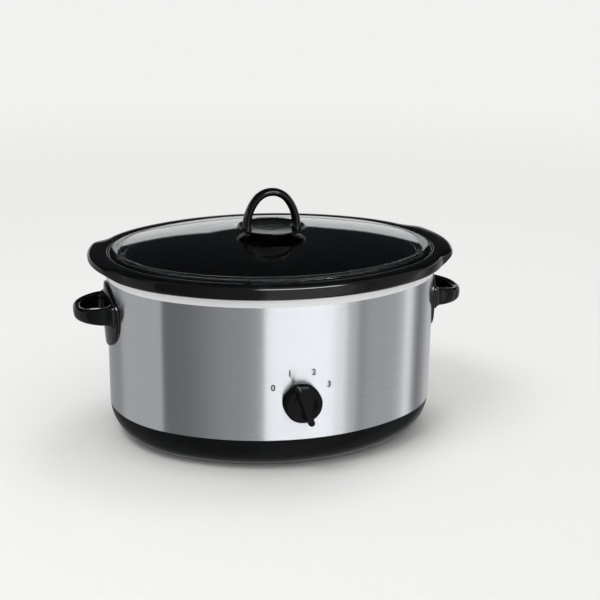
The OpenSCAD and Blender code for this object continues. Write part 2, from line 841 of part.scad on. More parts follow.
// From the right splice cap, round the right end to the switch
module lead_feed() {
    color("white") placed() lead(concat(
        stub(cap_mouth(1), [1, 0, 0]),
        [for (w = [feed_start : -feed_step : -feed_start]) inside(w, wire_inset, wire_z)],
        [under_tab(1)],
        stub_end(tab_foot(1), down)), 3);
}

// From the switch to the fuse
module lead_fuse() {
    color("white") placed() lead(concat(
        stub(tab_foot(-1), down),
        [under_tab(-1), inside(fuse_w + fuse_swing, wire_inset, fuse_z - lead_d / 2)],
        stub_end(fuse_end(1), [-sin(fuse_w), cos(fuse_w), 0])), 4);
}

// From the fuse up to the heater
module lead_heater() {
    color("white") placed() lead(concat(
        stub(fuse_end(-1), [sin(fuse_w), -cos(fuse_w), 0]),
        [inside(fuse_w - heater_climb[0], wire_inset, fuse_z + lead_d),
            inside(fuse_w - heater_climb[1], wire_inset, heater_z + lead_lap / 2),
            inside(fuse_w - heater_climb[2], heater_out - lead_d / 2, heater_z + lead_lap)]), 4);
}

// From the heater, at the back left, to the left splice cap
module lead_return() {
    w0 = back_angle(-cap_x - cap_l, cap_inset);
    color("white") placed() lead(concat(
        stub(cap_mouth(-1), [-1, 0, 0]),
        [inside(w0 + return_climb[0], wire_inset, wire_z),
            inside(w0 + return_climb[1], wire_inset, heater_z + lead_lap / 2),
            inside(w0 + return_climb[2], heater_out - lead_d / 2, heater_z + lead_lap)]), 4);
}

// ---- Side handles ----

// Puts a piece where each handle screw passes the steel, with +Z straight outwards
module grip_screws() {
    for (side = [0, 180], s = [-1, 1])
        rotate([0, 0, side]) translate([end_x, 0, loop_z])
            rotate([0, 90, s * grip_screw_angle]) translate([0, 0, end_r]) children();
}

// The right-hand handle: an oval plate bent to the steel and a loop with half-round edges
module side_handle() {
    reach = a + loop_reach - loop_t / 2;
    arm = loop_w / 2;
    difference() {
        union() {
            for (layer = [[0, grip_plate_t - grip_edge], [grip_edge, grip_plate_t]]) intersection() {
                translate([end_x, 0, plate_z - plate_h])
                    cylinder(r = end_r + layer[1], h = 2 * plate_h);
                translate([end_x, 0, plate_z]) rotate([90, 0, 90])
                    linear_extrude(2 * end_r)
                        oval_plan(plate_w - 2 * layer[0], plate_h - 2 * layer[0]);
            }
            for (s = [-1, 1]) {
                translate([a - loop_t, s * arm, loop_z]) rotate([90, 0, 90])
                    linear_extrude(reach - loop_r - a + loop_t) bow_section(loop_t, loop_h);
                translate([reach - loop_r, s * (arm - loop_r), loop_z])
                    rotate([0, 0, s > 0 ? 0 : -90]) rotate_extrude(angle = 90)
                        translate([loop_r, 0]) bow_section(loop_t, loop_h);
            }
            translate([reach, arm - loop_r, loop_z]) rotate([90, 0, 0])
                linear_extrude(2 * (arm - loop_r)) bow_section(loop_t, loop_h);
        }
        translate([end_x, 0, 0]) cylinder(r = end_r, h = 2 * rim_top);
        grip_screws() cylinder(d = grip_screw_d, h = grip_screw_l);
    }
}

module handle_left() { color(black) placed() rotate([0, 0, 180]) side_handle(); }
module handle_right() { color(black) placed() side_handle(); }

module handle_screws() {
    color(zinc) placed() grip_screws() {
        translate([0, 0, -grip_head_z]) cylinder(d = grip_screw_d, h = grip_screw_l + grip_head_z);
        translate([0, 0, -grip_head_z - grip_head_h])
            cylinder(d = 2 * grip_screw_d, h = grip_head_h);
    }
}

// ---- Stoneware ----

// Points of an arc, n steps from angle w0 to w1
function arc(x, z, r, w0, w1, n) = [for (i = [0 : n])
    let (w = w0 + (w1 - w0) * i / n) [x + r * cos(w), z + r * sin(w)]];

// The crock's wall in one line, from under its foot, over the flange and down to its floor.
// ear is the share of an ear's reach at this station: towards its tip the flange gets longer
// and thinner, because its underside rises.
function crock_profile(ear) = let (
        in_top = crock_neck + crock_wall,
        in_low = crock_foot + crock_wall,
        foot_in = crock_foot + crock_corner + foot_ring_w,
        out = flange_out + ear_reach * ear,
        t = flange_h + (ear_t - flange_h) * ear,
        low_r = min(flange_low_r, ear_low * t),
        top_r = min(flange_top_r, ear_top * t))
    concat(
        [[-crock_cap, crock_z + foot_recess], [-foot_in - foot_recess, crock_z + foot_recess],
            [-foot_in, crock_z]],
        arc(-crock_foot - crock_corner, crock_z + crock_corner, crock_corner, -90, 0, 4),
        [[-crock_neck, rim_top], [flange_out - flange_low_r - ear_root, rim_top]],
        arc(out - low_r, flange_top - t + low_r, low_r, -90 + ear_slope * ear, 0, 3),
        arc(out - top_r, flange_top - top_r, top_r, 0, 90, 4),
        arc(-recess_inset + recess_r, flange_top - recess_r, recess_r, 90, 180, 2),
        [[-recess_inset, ledge_z]],
        arc(-in_top + ledge_r, ledge_z - ledge_r, ledge_r, 90, 180, 3),
        arc(-in_low - cavity_corner, crock_z + crock_floor + cavity_corner, cavity_corner,
            0, -90, 4),
        [[-crock_cap, crock_z + crock_floor]]);

// Angles of the stations: close together over the ears, wider along the sides
function steps(w0, w1, n) = [for (i = [0 : n - 1]) w0 + (w1 - w0) * i / n];
stations = [for (half = [0, 180]) each concat(
    steps(half - join_angle, half - ear_half, rest_steps),
    steps(half - ear_half, half + ear_half, ear_steps),
    steps(half + ear_half, half + join_angle, rest_steps),
    steps(half + join_angle, half + 180 - join_angle, side_steps))];

function smoothstep(t) = let (u = min(1, max(0, t))) u * u * (3 - 2 * u);
// Share of an ear's reach at angle w, with eased shoulders
function ear_at(w) = smoothstep((ear_half - abs(((w + 90) % 180) - 90)) / ear_blend);

module stoneware() {
    rows = [for (w = stations) [for (p = crock_profile(ear_at(w))) oval_point(w, p[0], p[1])]];
    n = len(rows);
    m = len(rows[0]);
    color(black) placed() polyhedron(
        [for (row = rows) each row],
        [[for (k = [0 : n - 1]) k * m],
            for (k = [0 : n - 1], i = [0 : m - 2]) let (k1 = (k + 1) % n)
                each halves([k * m + i, k * m + i + 1, k1 * m + i + 1, k1 * m + i]),
            [for (k = [n - 1 : -1 : 0]) k * m + m - 1]]);
}

// ---- Lid ----

// Pressed glass: a flat rim with a ground round edge, a small step and a shallow dome
module lid_glass() {
    rim_in = lid_edge + lid_rim_w;
    dome_in = rim_in + lid_step_w;
    run = dome_inset - dome_in;
    dome_r = (run * run + dome_h * dome_h) / (2 * dome_h);
    color([0.55, 0.60, 0.60, 0.5]) placed() difference() {
        sweep() {
            strip(-rim_in, -lid_edge - glass_t / 2, ledge_z, glass_rim_z);
            translate([-lid_edge - glass_t / 2, ledge_z + glass_t / 2]) circle(d = glass_t);
            polygon([[-rim_in, ledge_z], [-rim_in, glass_rim_z], [-dome_in, dome_z],
                [-dome_in, dome_z - glass_t]]);
            intersection() {
                difference() {
                    translate([-dome_inset, glass_top - dome_r]) circle(dome_r);
                    translate([-dome_inset, glass_top - glass_t - dome_r]) circle(dome_r);
                }
                strip(-dome_inset, -dome_in, ledge_z, glass_top);
            }
            strip(-b, -dome_inset, glass_top - glass_t, glass_top);
        }
        translate([0, 0, glass_top - glass_t - cut])
            cylinder(d = lid_screw_d + 2, h = glass_t + 2 * cut);
    }
}

// Dished disc and bow, moulded in one
module lid_handle() {
    base_z = glass_top + seal_t;
    rim_z = glass_top + disc_rise;
    edge = disc_d / 2;
    half = (arch_w - arch_t) / 2;
    root_z = base_z + 3;
    rise = handle_top - arch_t / 2 - crown_r - rim_z;
    // Two flank arcs start upright at the disc's rim and meet the crown's arc
    flank_r = (rise * rise + half * half - crown_r * crown_r) / (2 * (half - crown_r));
    meet = atan2(rise, flank_r - half);
    color(black) placed() difference() {
        union() {
            rotate_extrude() polygon([[0, base_z], [0.5 * edge, base_z],
                [0.8 * edge, rim_z - 6], [0.96 * edge, rim_z - 3], [edge, rim_z - 1.4],
                [0.985 * edge, rim_z - 0.4], [0.94 * edge, rim_z], [0.88 * edge, rim_z - 0.8],
                [0.7 * edge, rim_z - 2.4], [0.4 * edge, base_z + 4], [0, base_z + 3.8]]);
            translate([0, 0, rim_z + rise]) rotate([90, 0, 0]) rotate([0, 0, meet - crown_lap])
                rotate_extrude(angle = 180 - 2 * (meet - crown_lap))
                    translate([crown_r, 0]) bow_section(arch_t - seam, arch_b - seam);
            for (turn = [0, 180]) rotate([0, 0, turn]) {
                translate([half - flank_r, 0, rim_z]) rotate([90, 0, 0])
                    rotate_extrude(angle = meet)
                        translate([flank_r, 0]) bow_section(arch_t, arch_b);
                translate([half, 0, root_z])
                    linear_extrude(rim_z - root_z) bow_section(arch_t, arch_b);
            }
        }
        translate([0, 0, base_z - cut]) cylinder(d = lid_screw_d, h = cut + screw_bite);
    }
}

module lid_seal() {
    color(rubber) placed() translate([0, 0, glass_top]) difference() {
        cylinder(d = 0.5 * disc_d, h = seal_t);
        translate([0, 0, -cut]) cylinder(d = lid_screw_d, h = seal_t + 2 * cut);
    }
}

module lid_washer() {
    color(bright) placed() translate([0, 0, glass_top - glass_t - washer_t]) difference() {
        cylinder(d = washer_d, h = washer_t);
        translate([0, 0, -cut]) cylinder(d = lid_screw_d, h = washer_t + 2 * cut);
    }
}

// Round head below the washer, with a cross recess
module lid_screw() {
    z0 = glass_top - glass_t - washer_t;
    color(bright) placed() {
        translate([0, 0, z0]) cylinder(d = lid_screw_d,
            h = washer_t + glass_t + seal_t + screw_bite);
        difference() {
            translate([0, 0, z0 - lid_head_h])
                cylinder(d1 = 1.5 * lid_screw_d, d2 = 2 * lid_screw_d, h = lid_head_h);
            for (turn = [0, 90]) rotate([0, 0, turn]) translate([0, 0, z0 - lid_head_h])
                cube([1.1 * lid_screw_d, slot_w, 2 * slot_w], center = true);
        }
    }
}

outer_wrap();
heating_well();
base_band();
bottom_plate();
foot([-1, -1]);  // foot_front_left
foot([1, -1]);  // foot_front_right
foot([-1, 1]);  // foot_rear_left
foot([1, 1]);  // foot_rear_right
handle_left();
handle_right();
handle_screws();
cord_bush();
heater_band();
heater_strap();
strap_spring();
thermal_fuse();
fuse_clip();
switch_body();
switch_screws();
switch_terminals();
lead_feed();
lead_fuse();
lead_heater();
lead_return();
splice_caps();
centre_bolt();
tension_spring();
spring_seat();
centre_nut();
control_knob();
knob_spring();
switch_shaft();
stoneware();
lid_glass();
lid_handle();
lid_seal();
lid_washer();
lid_screw();
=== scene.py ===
"""Looks of an oval slow cooker: brushed steel wrap, black base, black glazed crock, glass lid.

Every shape is worked out in millimetres round the oval's centre and written to its mesh in
metres, set back with the cooker. The CAD nodes that no piece replaces keep their own mesh and
get a better material.
"""
import math

import bpy
import numpy as np
from mathutils import Matrix, Vector


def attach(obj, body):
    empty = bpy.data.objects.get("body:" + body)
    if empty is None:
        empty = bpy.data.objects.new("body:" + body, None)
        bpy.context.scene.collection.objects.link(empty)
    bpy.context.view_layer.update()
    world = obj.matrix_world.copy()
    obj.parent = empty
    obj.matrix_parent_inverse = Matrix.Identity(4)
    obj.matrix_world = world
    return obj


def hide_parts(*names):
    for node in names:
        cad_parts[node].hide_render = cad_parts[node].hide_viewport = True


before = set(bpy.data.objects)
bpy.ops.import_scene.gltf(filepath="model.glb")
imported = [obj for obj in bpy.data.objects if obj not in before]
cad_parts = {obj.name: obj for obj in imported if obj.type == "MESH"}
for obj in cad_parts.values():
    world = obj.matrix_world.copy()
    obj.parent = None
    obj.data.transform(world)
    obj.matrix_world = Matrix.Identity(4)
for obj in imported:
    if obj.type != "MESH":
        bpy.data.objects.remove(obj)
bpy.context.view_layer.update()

# ---- Camera ------------------------------------------------------------------------------

BACK = Vector((-0.2097, -0.9201, 0.3307)).normalized()      # from the target to the camera
TARGET = Vector((0.0, 0.00525, 0.090))
DISTANCE = 1.472
ROLL = math.radians(0.43)
SENSOR_W, LENS = 36.0, 78.92
SHIFT_X, SHIFT_Y = 0.0490, 0.0754

camera_data = bpy.data.cameras.new("camera")
camera_data.sensor_width = SENSOR_W
camera_data.lens = LENS
camera_data.shift_x = SHIFT_X
camera_data.shift_y = SHIFT_Y
camera = bpy.data.objects.new("camera", camera_data)
bpy.context.scene.collection.objects.link(camera)
level = Vector((0, 0, 1)).cross(BACK).normalized()
right = level * math.cos(ROLL) + BACK.cross(level) * math.sin(ROLL)
up = BACK.cross(right)
camera.matrix_world = (Matrix.Translation(TARGET + BACK * DISTANCE)
                       @ Matrix((right, up, BACK)).transposed().to_4x4())
bpy.context.scene.camera = camera

# ---- Sizes in millimetres ----------------------------------------------------------------

END_R, SIDE_R = 126.0, 216.0          # radii of the oval's end and side arcs
END_X, SIDE_Y = 54.0, 72.0            # distances of their centres from the middle
SET_BACK = 5.25                       # of the oval's centre behind the frame's origin
SHEET = 0.8                           # thickness of the wrap's and the well's steel
BAND_FOOT, BAND_TOP = 2.5, 36.8       # heights of the base band
WELL_FOOT = 44.0
RIM_FOOT, RIM_TOP = 180.0, 190.0      # heights of the well's rolled rim
CROCK_FOOT, CAVITY_FOOT = 50.0, 58.0
LEDGE, FLANGE_TOP = 200.7, 205.0      # heights of the lid's seat and of the crock's flange
DOME_FOOT, GLASS_TOP, GLASS_T = 207.2, 219.5, 4.0
INLET_Z, BUSH_R = 52.8, 6.5           # hole for the cord, at the back
KNOB_Z = 78.5
STATIONS = np.radians(np.arange(384) * 360 / 384)


# ---- Shapes ------------------------------------------------------------------------------

def oval(angle, offset):
    """Point of the four-centre oval where its outward normal points along angle, moved out by
    offset: an arc's centre plus (its radius + offset) times the normal. The end arcs hold the
    normals whose cosine is at least 3/5, the side arcs the rest."""
    c, s = np.cos(angle), np.sin(angle)
    end = np.abs(c) >= 0.6
    return (np.where(end, np.sign(c) * END_X + (END_R + offset) * c, (SIDE_R + offset) * c),
            np.where(end, (END_R + offset) * s, (SIDE_R + offset) * s - np.sign(s) * SIDE_Y))


def rounded(corners, steps=6):
    """Outline through corners (x, y, radius): each corner becomes an arc that touches both of
    its sides, starting radius / tan(half of the corner's angle) away from it."""
    pts = np.array([c[:2] for c in corners], float)
    out = []
    for i, p in enumerate(pts):
        r = corners[i][2] if len(corners[i]) > 2 else 0.0
        if r == 0:
            out.append(p[None])
            continue
        d0, d1 = pts[i - 1] - p, pts[(i + 1) % len(pts)] - p
        d0, d1 = d0 / np.linalg.norm(d0), d1 / np.linalg.norm(d1)
        half = math.acos(np.clip(d0 @ d1, -1, 1)) / 2
        mid = (d0 + d1) / np.linalg.norm(d0 + d1)
        centre = p + mid * r / math.sin(half)
        start = p + d0 * r / math.tan(half) - centre
        turn = (math.pi - 2 * half) * np.sign(d0[0] * d1[1] - d0[1] * d1[0])
        w = -turn * np.linspace(0, 1, steps + 1)[:, None]
        side = np.array([-start[1], start[0]])
        out.append(centre + start * np.cos(w) + side * np.sin(w))
    return np.concatenate(out)


def quads(n, m, close_u=True, close_v=True):
    """Faces of a grid with n rows of m points, joined end to end along u, v or both."""
    u = np.arange(n if close_u else n - 1)[:, None]
    v = np.arange(m if close_v else m - 1)[None]
    u1, v1 = (u + 1) % n, (v + 1) % m
    return np.stack([u * m + v, u1 * m + v, u1 * m + v1, u * m + v1], -1).reshape(-1, 4)


def ring(profile, closed=True):
    """Carries a profile of (offset, height) round the oval: one for all stations, or one for
    each. An open profile is closed by a fan to the middle at either end."""
    n, m = len(STATIONS), np.shape(profile)[-2]
    profile = np.broadcast_to(profile, (n, m, 2))
    x, y = oval(STATIONS[:, None], profile[..., 0])
    grid = np.stack([x, y, profile[..., 1]], -1).reshape(-1, 3)
    faces = [quads(n, m, True, closed)]
    if not closed:
        tips = [[0, 0, profile[0, 0, 1]], [0, 0, profile[0, -1, 1]]]
        k = np.arange(n)
        k1 = (k + 1) % n
        faces += [np.stack([k * m, np.full(n, n * m), k1 * m], -1),
                  np.stack([k * m + m - 1, k1 * m + m - 1, np.full(n, n * m + 1)], -1)]
        grid = np.concatenate([grid, tips])
    return grid, faces


def turned(profile, n=96, closed=False):
    """Solid of revolution about Z: the point (r, z) goes to (r cos w, r sin w, z)."""
    profile = np.asarray(profile, float)
    w = np.arange(n)[:, None] * 2 * np.pi / n
    r, z = profile[:, 0], profile[:, 1]
    grid = np.stack([r * np.cos(w), r * np.sin(w), z + 0 * w], -1).reshape(-1, 3)
    return grid, [quads(n, len(profile), True, closed)]


def swept(path, across, along, sections):
    """Tube along a path: station i holds path + u across + v along for each point (u, v) of
    its section. A fan to the path closes either end."""
    n, m = sections.shape[:2]
    grid = (path[:, None] + sections[..., :1] * across[:, None]
            + sections[..., 1:] * along[:, None]).reshape(-1, 3)
    k = np.arange(m)
    k1 = (k + 1) % m
    fans = [np.stack([k, k1, np.full(m, n * m)], -1),
            np.stack([k1 + (n - 1) * m, k + (n - 1) * m, np.full(m, n * m + 1)], -1)]
    return np.concatenate([grid, path[:1], path[-1:]]), [quads(n, m, False, True)] + fans


def pebble(thick, wide, power=2.6, m=32):
    """Sections of a grip: |u / half thickness|^p + |v / half width|^p = 1."""
    w = np.arange(m) * 2 * np.pi / m
    c, s = np.cos(w), np.sin(w)
    u = np.sign(c) * np.abs(c) ** (2 / power)
    v = np.sign(s) * np.abs(s) ** (2 / power)
    return np.stack([np.outer(thick, u), np.outer(wide, v)], -1) / 2


def solid(name, parts, body, material, replaced=(), sharp=40):
    """Makes one piece from parts, each a pair of points in millimetres and lists of faces.
    Points that coincide are welded, and the faces are turned outwards by the sign of the
    enclosed volume, which is a sixth of the sum of the corners' triple products."""
    points, faces, start = [], [], 0
    for grid, sets in parts:
        points.append(np.asarray(grid, float))
        faces += [f + start for f in sets]
        start += len(grid)
    points = np.concatenate(points)
    _, first, place = np.unique(np.round(points, 3), axis=0, return_index=True,
                                return_inverse=True)
    points, place = points[first], place.reshape(-1)
    tris = []
    for f in (place[f] for f in faces):
        tris.append(f[:, [0, 1, 2]])
        if f.shape[1] == 4:
            tris.append(f[:, [0, 2, 3]])
    t = points[np.concatenate(tris)]
    volume = np.einsum("ij,ij->i", t[:, 0], np.cross(t[:, 1], t[:, 2])).sum() / 6
    loops = []
    for f in (place[f] for f in faces):
        f = f if volume > 0 else f[:, ::-1]
        loops += [list(dict.fromkeys(q)) for q in f.tolist()]
    loops = [q for q in loops if len(q) > 2]
    mesh = bpy.data.meshes.new(name)
    mesh.from_pydata(((points + [0, SET_BACK, 0]) / 1000).tolist(), [], loops)
    mesh.polygons.foreach_set("use_smooth", np.ones(len(mesh.polygons), bool))
    mesh.set_sharp_from_angle(angle=math.radians(sharp))
    mesh.materials.append(material)
    obj = bpy.data.objects.new(name, mesh)
    bpy.context.scene.collection.objects.link(obj)
    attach(obj, body)
    if replaced:
        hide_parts(*replaced)
    return obj


def repaint(obj, material, chosen):
    """Gives another material to the faces whose middles are chosen: chosen takes their points
    in millimetres round the oval's centre and returns which to change."""
    polygons = obj.data.polygons
    middles = np.empty(len(polygons) * 3)
    polygons.foreach_get("center", middles)
    picked = chosen(middles.reshape(-1, 3) * 1000 - [0, SET_BACK, 0])
    obj.data.materials.append(material)
    polygons.foreach_set("material_index", picked.astype(np.int32))


# ---- Materials ---------------------------------------------------------------------------

def linear(code, k=1.0):
    """sRGB hex to a linear colour, times k."""
    c = np.array([int(code[i:i + 2], 16) for i in (1, 3, 5)]) / 255
    c = np.where(c <= 0.04045, c / 12.92, ((c + 0.055) / 1.055) ** 2.4) * k
    return (float(c[0]), float(c[1]), float(c[2]), 1.0)


def add(tree, kind, links=None, **settings):
    """Adds a node: settings go to its properties, and links to its sockets, each a value or
    another node's output."""
    made = tree.nodes.new("ShaderNode" + kind)
    for key, value in settings.items():
        setattr(made, key, value)
    for key, value in (links or {}).items():
        if isinstance(value, bpy.types.NodeSocket):
            tree.links.new(value, made.inputs[key])
        else:
            made.inputs[key].default_value = value
    return made


def start(name, **sockets):
    """A new material with its tree and Principled shader, whose sockets are set by name."""
    material = bpy.data.materials.new(name)
    material.use_nodes = True
    tree = material.node_tree
    shader = tree.nodes["Principled BSDF"]
    for key, value in sockets.items():
        shader.inputs[key.replace("_", " ")].default_value = value
    return material, tree, shader


def grain(tree, size_mm, detail=3.0, stretch=(1, 1, 1)):
    """Noise on Object coordinates whose cells are size_mm wide, stretched per axis."""
    where = add(tree, "TexCoord").outputs["Object"]
    scale = [1000 / size_mm / s for s in stretch]
    placed = add(tree, "Mapping", {"Vector": where, "Scale": scale}).outputs["Vector"]
    return add(tree, "TexNoise", {"Vector": placed, "Scale": 1.0, "Detail": detail}
               ).outputs["Fac"]


def spread(tree, source, low, high, floor=0.3, ceiling=0.7):
    """Maps the middle of a noise to a range of values."""
    return add(tree, "MapRange", {"Value": source, "From Min": floor, "From Max": ceiling,
                                  "To Min": low, "To Max": high}).outputs["Result"]


def tint(tree, factor, one, two):
    """Mixes two colours."""
    mix = add(tree, "Mix", {"Factor": factor}, data_type="RGBA")
    mix.inputs["A"].default_value = one
    mix.inputs["B"].default_value = two
    return mix.outputs["Result"]


def relief(tree, shader, height, depth_mm, strength=1.0):
    """Bump of that depth."""
    bump = add(tree, "Bump", {"Height": height, "Distance": depth_mm / 1000,
                              "Strength": strength})
    tree.links.new(bump.outputs["Normal"], shader.inputs["Normal"])


def brushed_stainless_steel():
    """Stainless sheet, belt-brushed along the wrap: the lines blur what it mirrors up and down
    and keep it sharp sideways, so that it shows upright bands. Lines 0.4 to 2 mm apart."""
    material, tree, shader = start("brushed_stainless_steel", Metallic=1.0, Anisotropic=1.0,
                                   Anisotropic_Rotation=0.25)
    fine = grain(tree, 0.45, 2.0, (160, 160, 1))
    broad = grain(tree, 2.2, 2.0, (90, 90, 1))
    both = add(tree, "Math", {0: fine, 1: broad}, operation="MULTIPLY").outputs[0]
    tree.links.new(tint(tree, spread(tree, both, 0, 1, 0.15, 0.4), linear("#dadcdf"),
                        linear("#dddfe2")), shader.inputs["Base Color"])
    tree.links.new(spread(tree, fine, 0.165, 0.19), shader.inputs["Roughness"])
    along = add(tree, "Tangent", direction_type="RADIAL", axis="Z").outputs["Tangent"]
    tree.links.new(along, shader.inputs["Tangent"])
    relief(tree, shader, fine, 0.002, 0.3)
    return material


def bright_painted_rim_sheet():
    """Aluminised deep-drawn sheet of the heating well's rolled rim, satin, near white and mostly
    diffuse: a painted highlight that stands in for the bright reflection of the shiny rolled
    rim.
    """
    material, tree, shader = start("bright_painted_rim_sheet", Metallic=0.2)
    cloud = grain(tree, 9.0, 3.0)
    tree.links.new(tint(tree, spread(tree, cloud, 0, 1), linear("#f6f7f8"),
                        linear("#fafbfc")), shader.inputs["Base Color"])
    tree.links.new(spread(tree, grain(tree, 1.5, 2.0), 0.42, 0.5), shader.inputs["Roughness"])
    return material


def zinc_plated_steel():
    """Pressed or drawn steel with bright zinc: bluish, with soft clouds 12 mm wide."""
    material, tree, shader = start("zinc_plated_steel", Metallic=1.0)
    cloud = grain(tree, 12.0, 4.0)
    tree.links.new(tint(tree, spread(tree, cloud, 0, 1), linear("#a9acb0"),
                        linear("#c3c6ca")), shader.inputs["Base Color"])
    tree.links.new(spread(tree, cloud, 0.3, 0.42), shader.inputs["Roughness"])
    relief(tree, shader, grain(tree, 0.6, 2.0), 0.01, 0.3)
    return material


def stainless_fastener():
    """Turned stainless steel of the lid's screw and washer."""
    material, tree, shader = start("stainless_fastener", Metallic=1.0)
    cloud = grain(tree, 1.2, 2.0)
    tree.links.new(tint(tree, spread(tree, cloud, 0, 1), linear("#c9cbce"),
                        linear("#dcdee0")), shader.inputs["Base Color"])
    tree.links.new(spread(tree, cloud, 0.18, 0.3), shader.inputs["Roughness"])
    return material


def moulded_polypropylene():
    """Black moulded plastic of the base band: satin, with a fine sparked grain 0.5 mm wide."""
    material, tree, shader = start("moulded_polypropylene", Specular_IOR_Level=0.05)
    spark = grain(tree, 0.5, 3.0)
    tree.links.new(tint(tree, spread(tree, grain(tree, 14.0), 0, 1), linear("#101112"),
                        linear("#151617")), shader.inputs["Base Color"])
    tree.links.new(spread(tree, spark, 0.24, 0.32), shader.inputs["Roughness"])
    relief(tree, shader, spark, 0.012, 0.5)
    return material


def moulded_phenolic(name, gloss):
    """Black phenolic of handles and knob: polished mould, faint flow marks 8 mm wide."""
    material, tree, shader = start(name, Specular_IOR_Level=gloss)
    flow = grain(tree, 8.0, 2.0)
    tree.links.new(tint(tree, spread(tree, flow, 0, 1), linear("#050606"),
                        linear("#090a0b")), shader.inputs["Base Color"])
    tree.links.new(spread(tree, flow, 0.1, 0.15), shader.inputs["Roughness"])
    relief(tree, shader, flow, 0.02, 0.3)
    return material


def black_glazed_stoneware():
    """Glossy black glaze that pooled a little in firing, 14 mm waves, over buff stoneware,
    which shows where the foot ring was wiped clean."""
    material, tree, shader = start("black_glazed_stoneware", Specular_IOR_Level=0.35)
    where = add(tree, "TexCoord").outputs["Object"]
    height = add(tree, "SeparateXYZ", {0: where}).outputs["Z"]
    ragged = add(tree, "Math", {0: grain(tree, 4.0, 3.0), 1: 0.0008},
                 operation="MULTIPLY").outputs[0]
    level = add(tree, "Math", {0: height, 1: ragged}, operation="SUBTRACT").outputs[0]
    glazed = add(tree, "MapRange", {"Value": level, "From Min": (CROCK_FOOT + 0.9) / 1000,
                                    "From Max": (CROCK_FOOT + 1.2) / 1000}).outputs["Result"]
    pool = tint(tree, spread(tree, grain(tree, 14.0, 2.0), 0, 1), linear("#050506"),
                linear("#0a0b0c"))
    mix = add(tree, "Mix", {"Factor": glazed}, data_type="RGBA")
    mix.inputs["A"].default_value = linear("#b9a98c")
    tree.links.new(pool, mix.inputs["B"])
    tree.links.new(mix.outputs["Result"], shader.inputs["Base Color"])
    tree.links.new(add(tree, "MapRange", {"Value": glazed, "To Min": 0.85, "To Max": 0.07}
                       ).outputs["Result"], shader.inputs["Roughness"])
    relief(tree, shader, grain(tree, 14.0, 1.0), 0.02, 0.3)
    return material


def tempered_glass():
    """Clear pressed soda-lime glass, faintly green, with a fire-polished surface."""
    material, tree, shader = start("tempered_glass", Transmission_Weight=1.0, IOR=1.5)
    wave = grain(tree, 30.0, 2.0)
    tree.links.new(tint(tree, spread(tree, wave, 0, 1), linear("#f1f6f4"),
                        linear("#f6f9f8")), shader.inputs["Base Color"])
    tree.links.new(spread(tree, wave, 0.0, 0.02), shader.inputs["Roughness"])
    return material


def eroded_phenolic():
    """Side of the knob's skirt: spark-eroded in the mould, dead matt black."""
    material, tree, shader = start("eroded_phenolic", Specular_IOR_Level=0.0, Roughness=0.9)
    spark = grain(tree, 0.6, 3.0)
    tree.links.new(tint(tree, spread(tree, spark, 0, 1), linear("#0a0b0b"),
                        linear("#101112")), shader.inputs["Base Color"])
    return material


def plain(name, dark, light, size_mm, rough, metal=0.0, depth_mm=0.0):
    """A finish whose colour and roughness vary a little in cells size_mm wide."""
    material, tree, shader = start(name, Metallic=metal)
    cell = grain(tree, size_mm, 3.0)
    tree.links.new(tint(tree, spread(tree, cell, 0, 1), linear(dark), linear(light)),
                   shader.inputs["Base Color"])
    tree.links.new(spread(tree, cell, *rough), shader.inputs["Roughness"])
    if depth_mm:
        relief(tree, shader, cell, depth_mm, 0.5)
    return material


steel = brushed_stainless_steel()
# The rolled rim's near-white colour is a painted highlight; the rest of the well is grey metal.
rim_steel = bright_painted_rim_sheet()
well_steel = plain("aluminised_steel", "#a9abad", "#bcbec0", 12.0, (0.38, 0.5), metal=0.9)
zinc = zinc_plated_steel()
bright = stainless_fastener()
band_plastic = moulded_polypropylene()
grip_plastic = moulded_phenolic("polished_phenolic", 0.3)
knob_plastic = moulded_phenolic("satin_phenolic", 0.12)
skirt_plastic = eroded_phenolic()
glaze = black_glazed_stoneware()
glass = tempered_glass()
rubber = plain("foot_rubber", "#1b1b1c", "#232324", 0.8, (0.7, 0.85), depth_mm=0.02)
silicone = plain("black_silicone", "#171718", "#1f1f20", 1.5, (0.5, 0.6), depth_mm=0.01)
brass = plain("terminal_brass", "#b08d45", "#c9a55a", 1.0, (0.25, 0.35), metal=1.0)
mica = plain("mica_paper", "#b8ab8d", "#d0c4a8", 2.5, (0.5, 0.7), depth_mm=0.03)
ceramic = plain("fuse_ceramic", "#d9d8d2", "#e6e5df", 1.0, (0.4, 0.5))
sleeve = plain("glass_sleeve", "#d4d2c9", "#ebeae4", 0.5, (0.6, 0.8), depth_mm=0.05)
nylon = plain("cap_nylon", "#cfc7a8", "#ddd6bb", 1.5, (0.4, 0.5))
switch_black = plain("switch_phenolic", "#28221f", "#322b27", 1.5, (0.5, 0.65), depth_mm=0.02)
ink = plain("printed_ink", "#2a2c2f", "#36393c", 0.4, (0.45, 0.6))

for names, finish in ((("bottom_plate", "handle_screws", "heater_strap", "strap_spring",
                        "fuse_clip", "switch_screws", "centre_bolt", "tension_spring",
                        "spring_seat", "centre_nut", "knob_spring", "switch_shaft"), zinc),
                      (("foot_front_left", "foot_front_right", "foot_rear_left",
                        "foot_rear_right"), rubber),
                      (("lid_washer", "lid_screw"), bright),
                      (("lid_seal",), silicone),
                      (("cord_bush",), band_plastic),
                      (("heater_band",), mica),
                      (("thermal_fuse",), ceramic),
                      (("switch_body",), switch_black),
                      (("switch_terminals",), brass),
                      (("lead_feed", "lead_fuse", "lead_heater", "lead_return"), sleeve),
                      (("splice_caps",), nylon)):
    for name in names:
        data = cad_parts[name].data
        data.materials.clear()
        data.materials.append(finish)


# ---- Shell -------------------------------------------------------------------------------

WRAP_TOP, WINDOW_HALF = RIM_TOP - 3, 14.0         # the top is hidden inside the rolled rim
SILL_ROWS, WINDOW_ROWS, HEAD_ROWS, HOLE_RINGS = 4, 9, 12, 5       # below, across and above


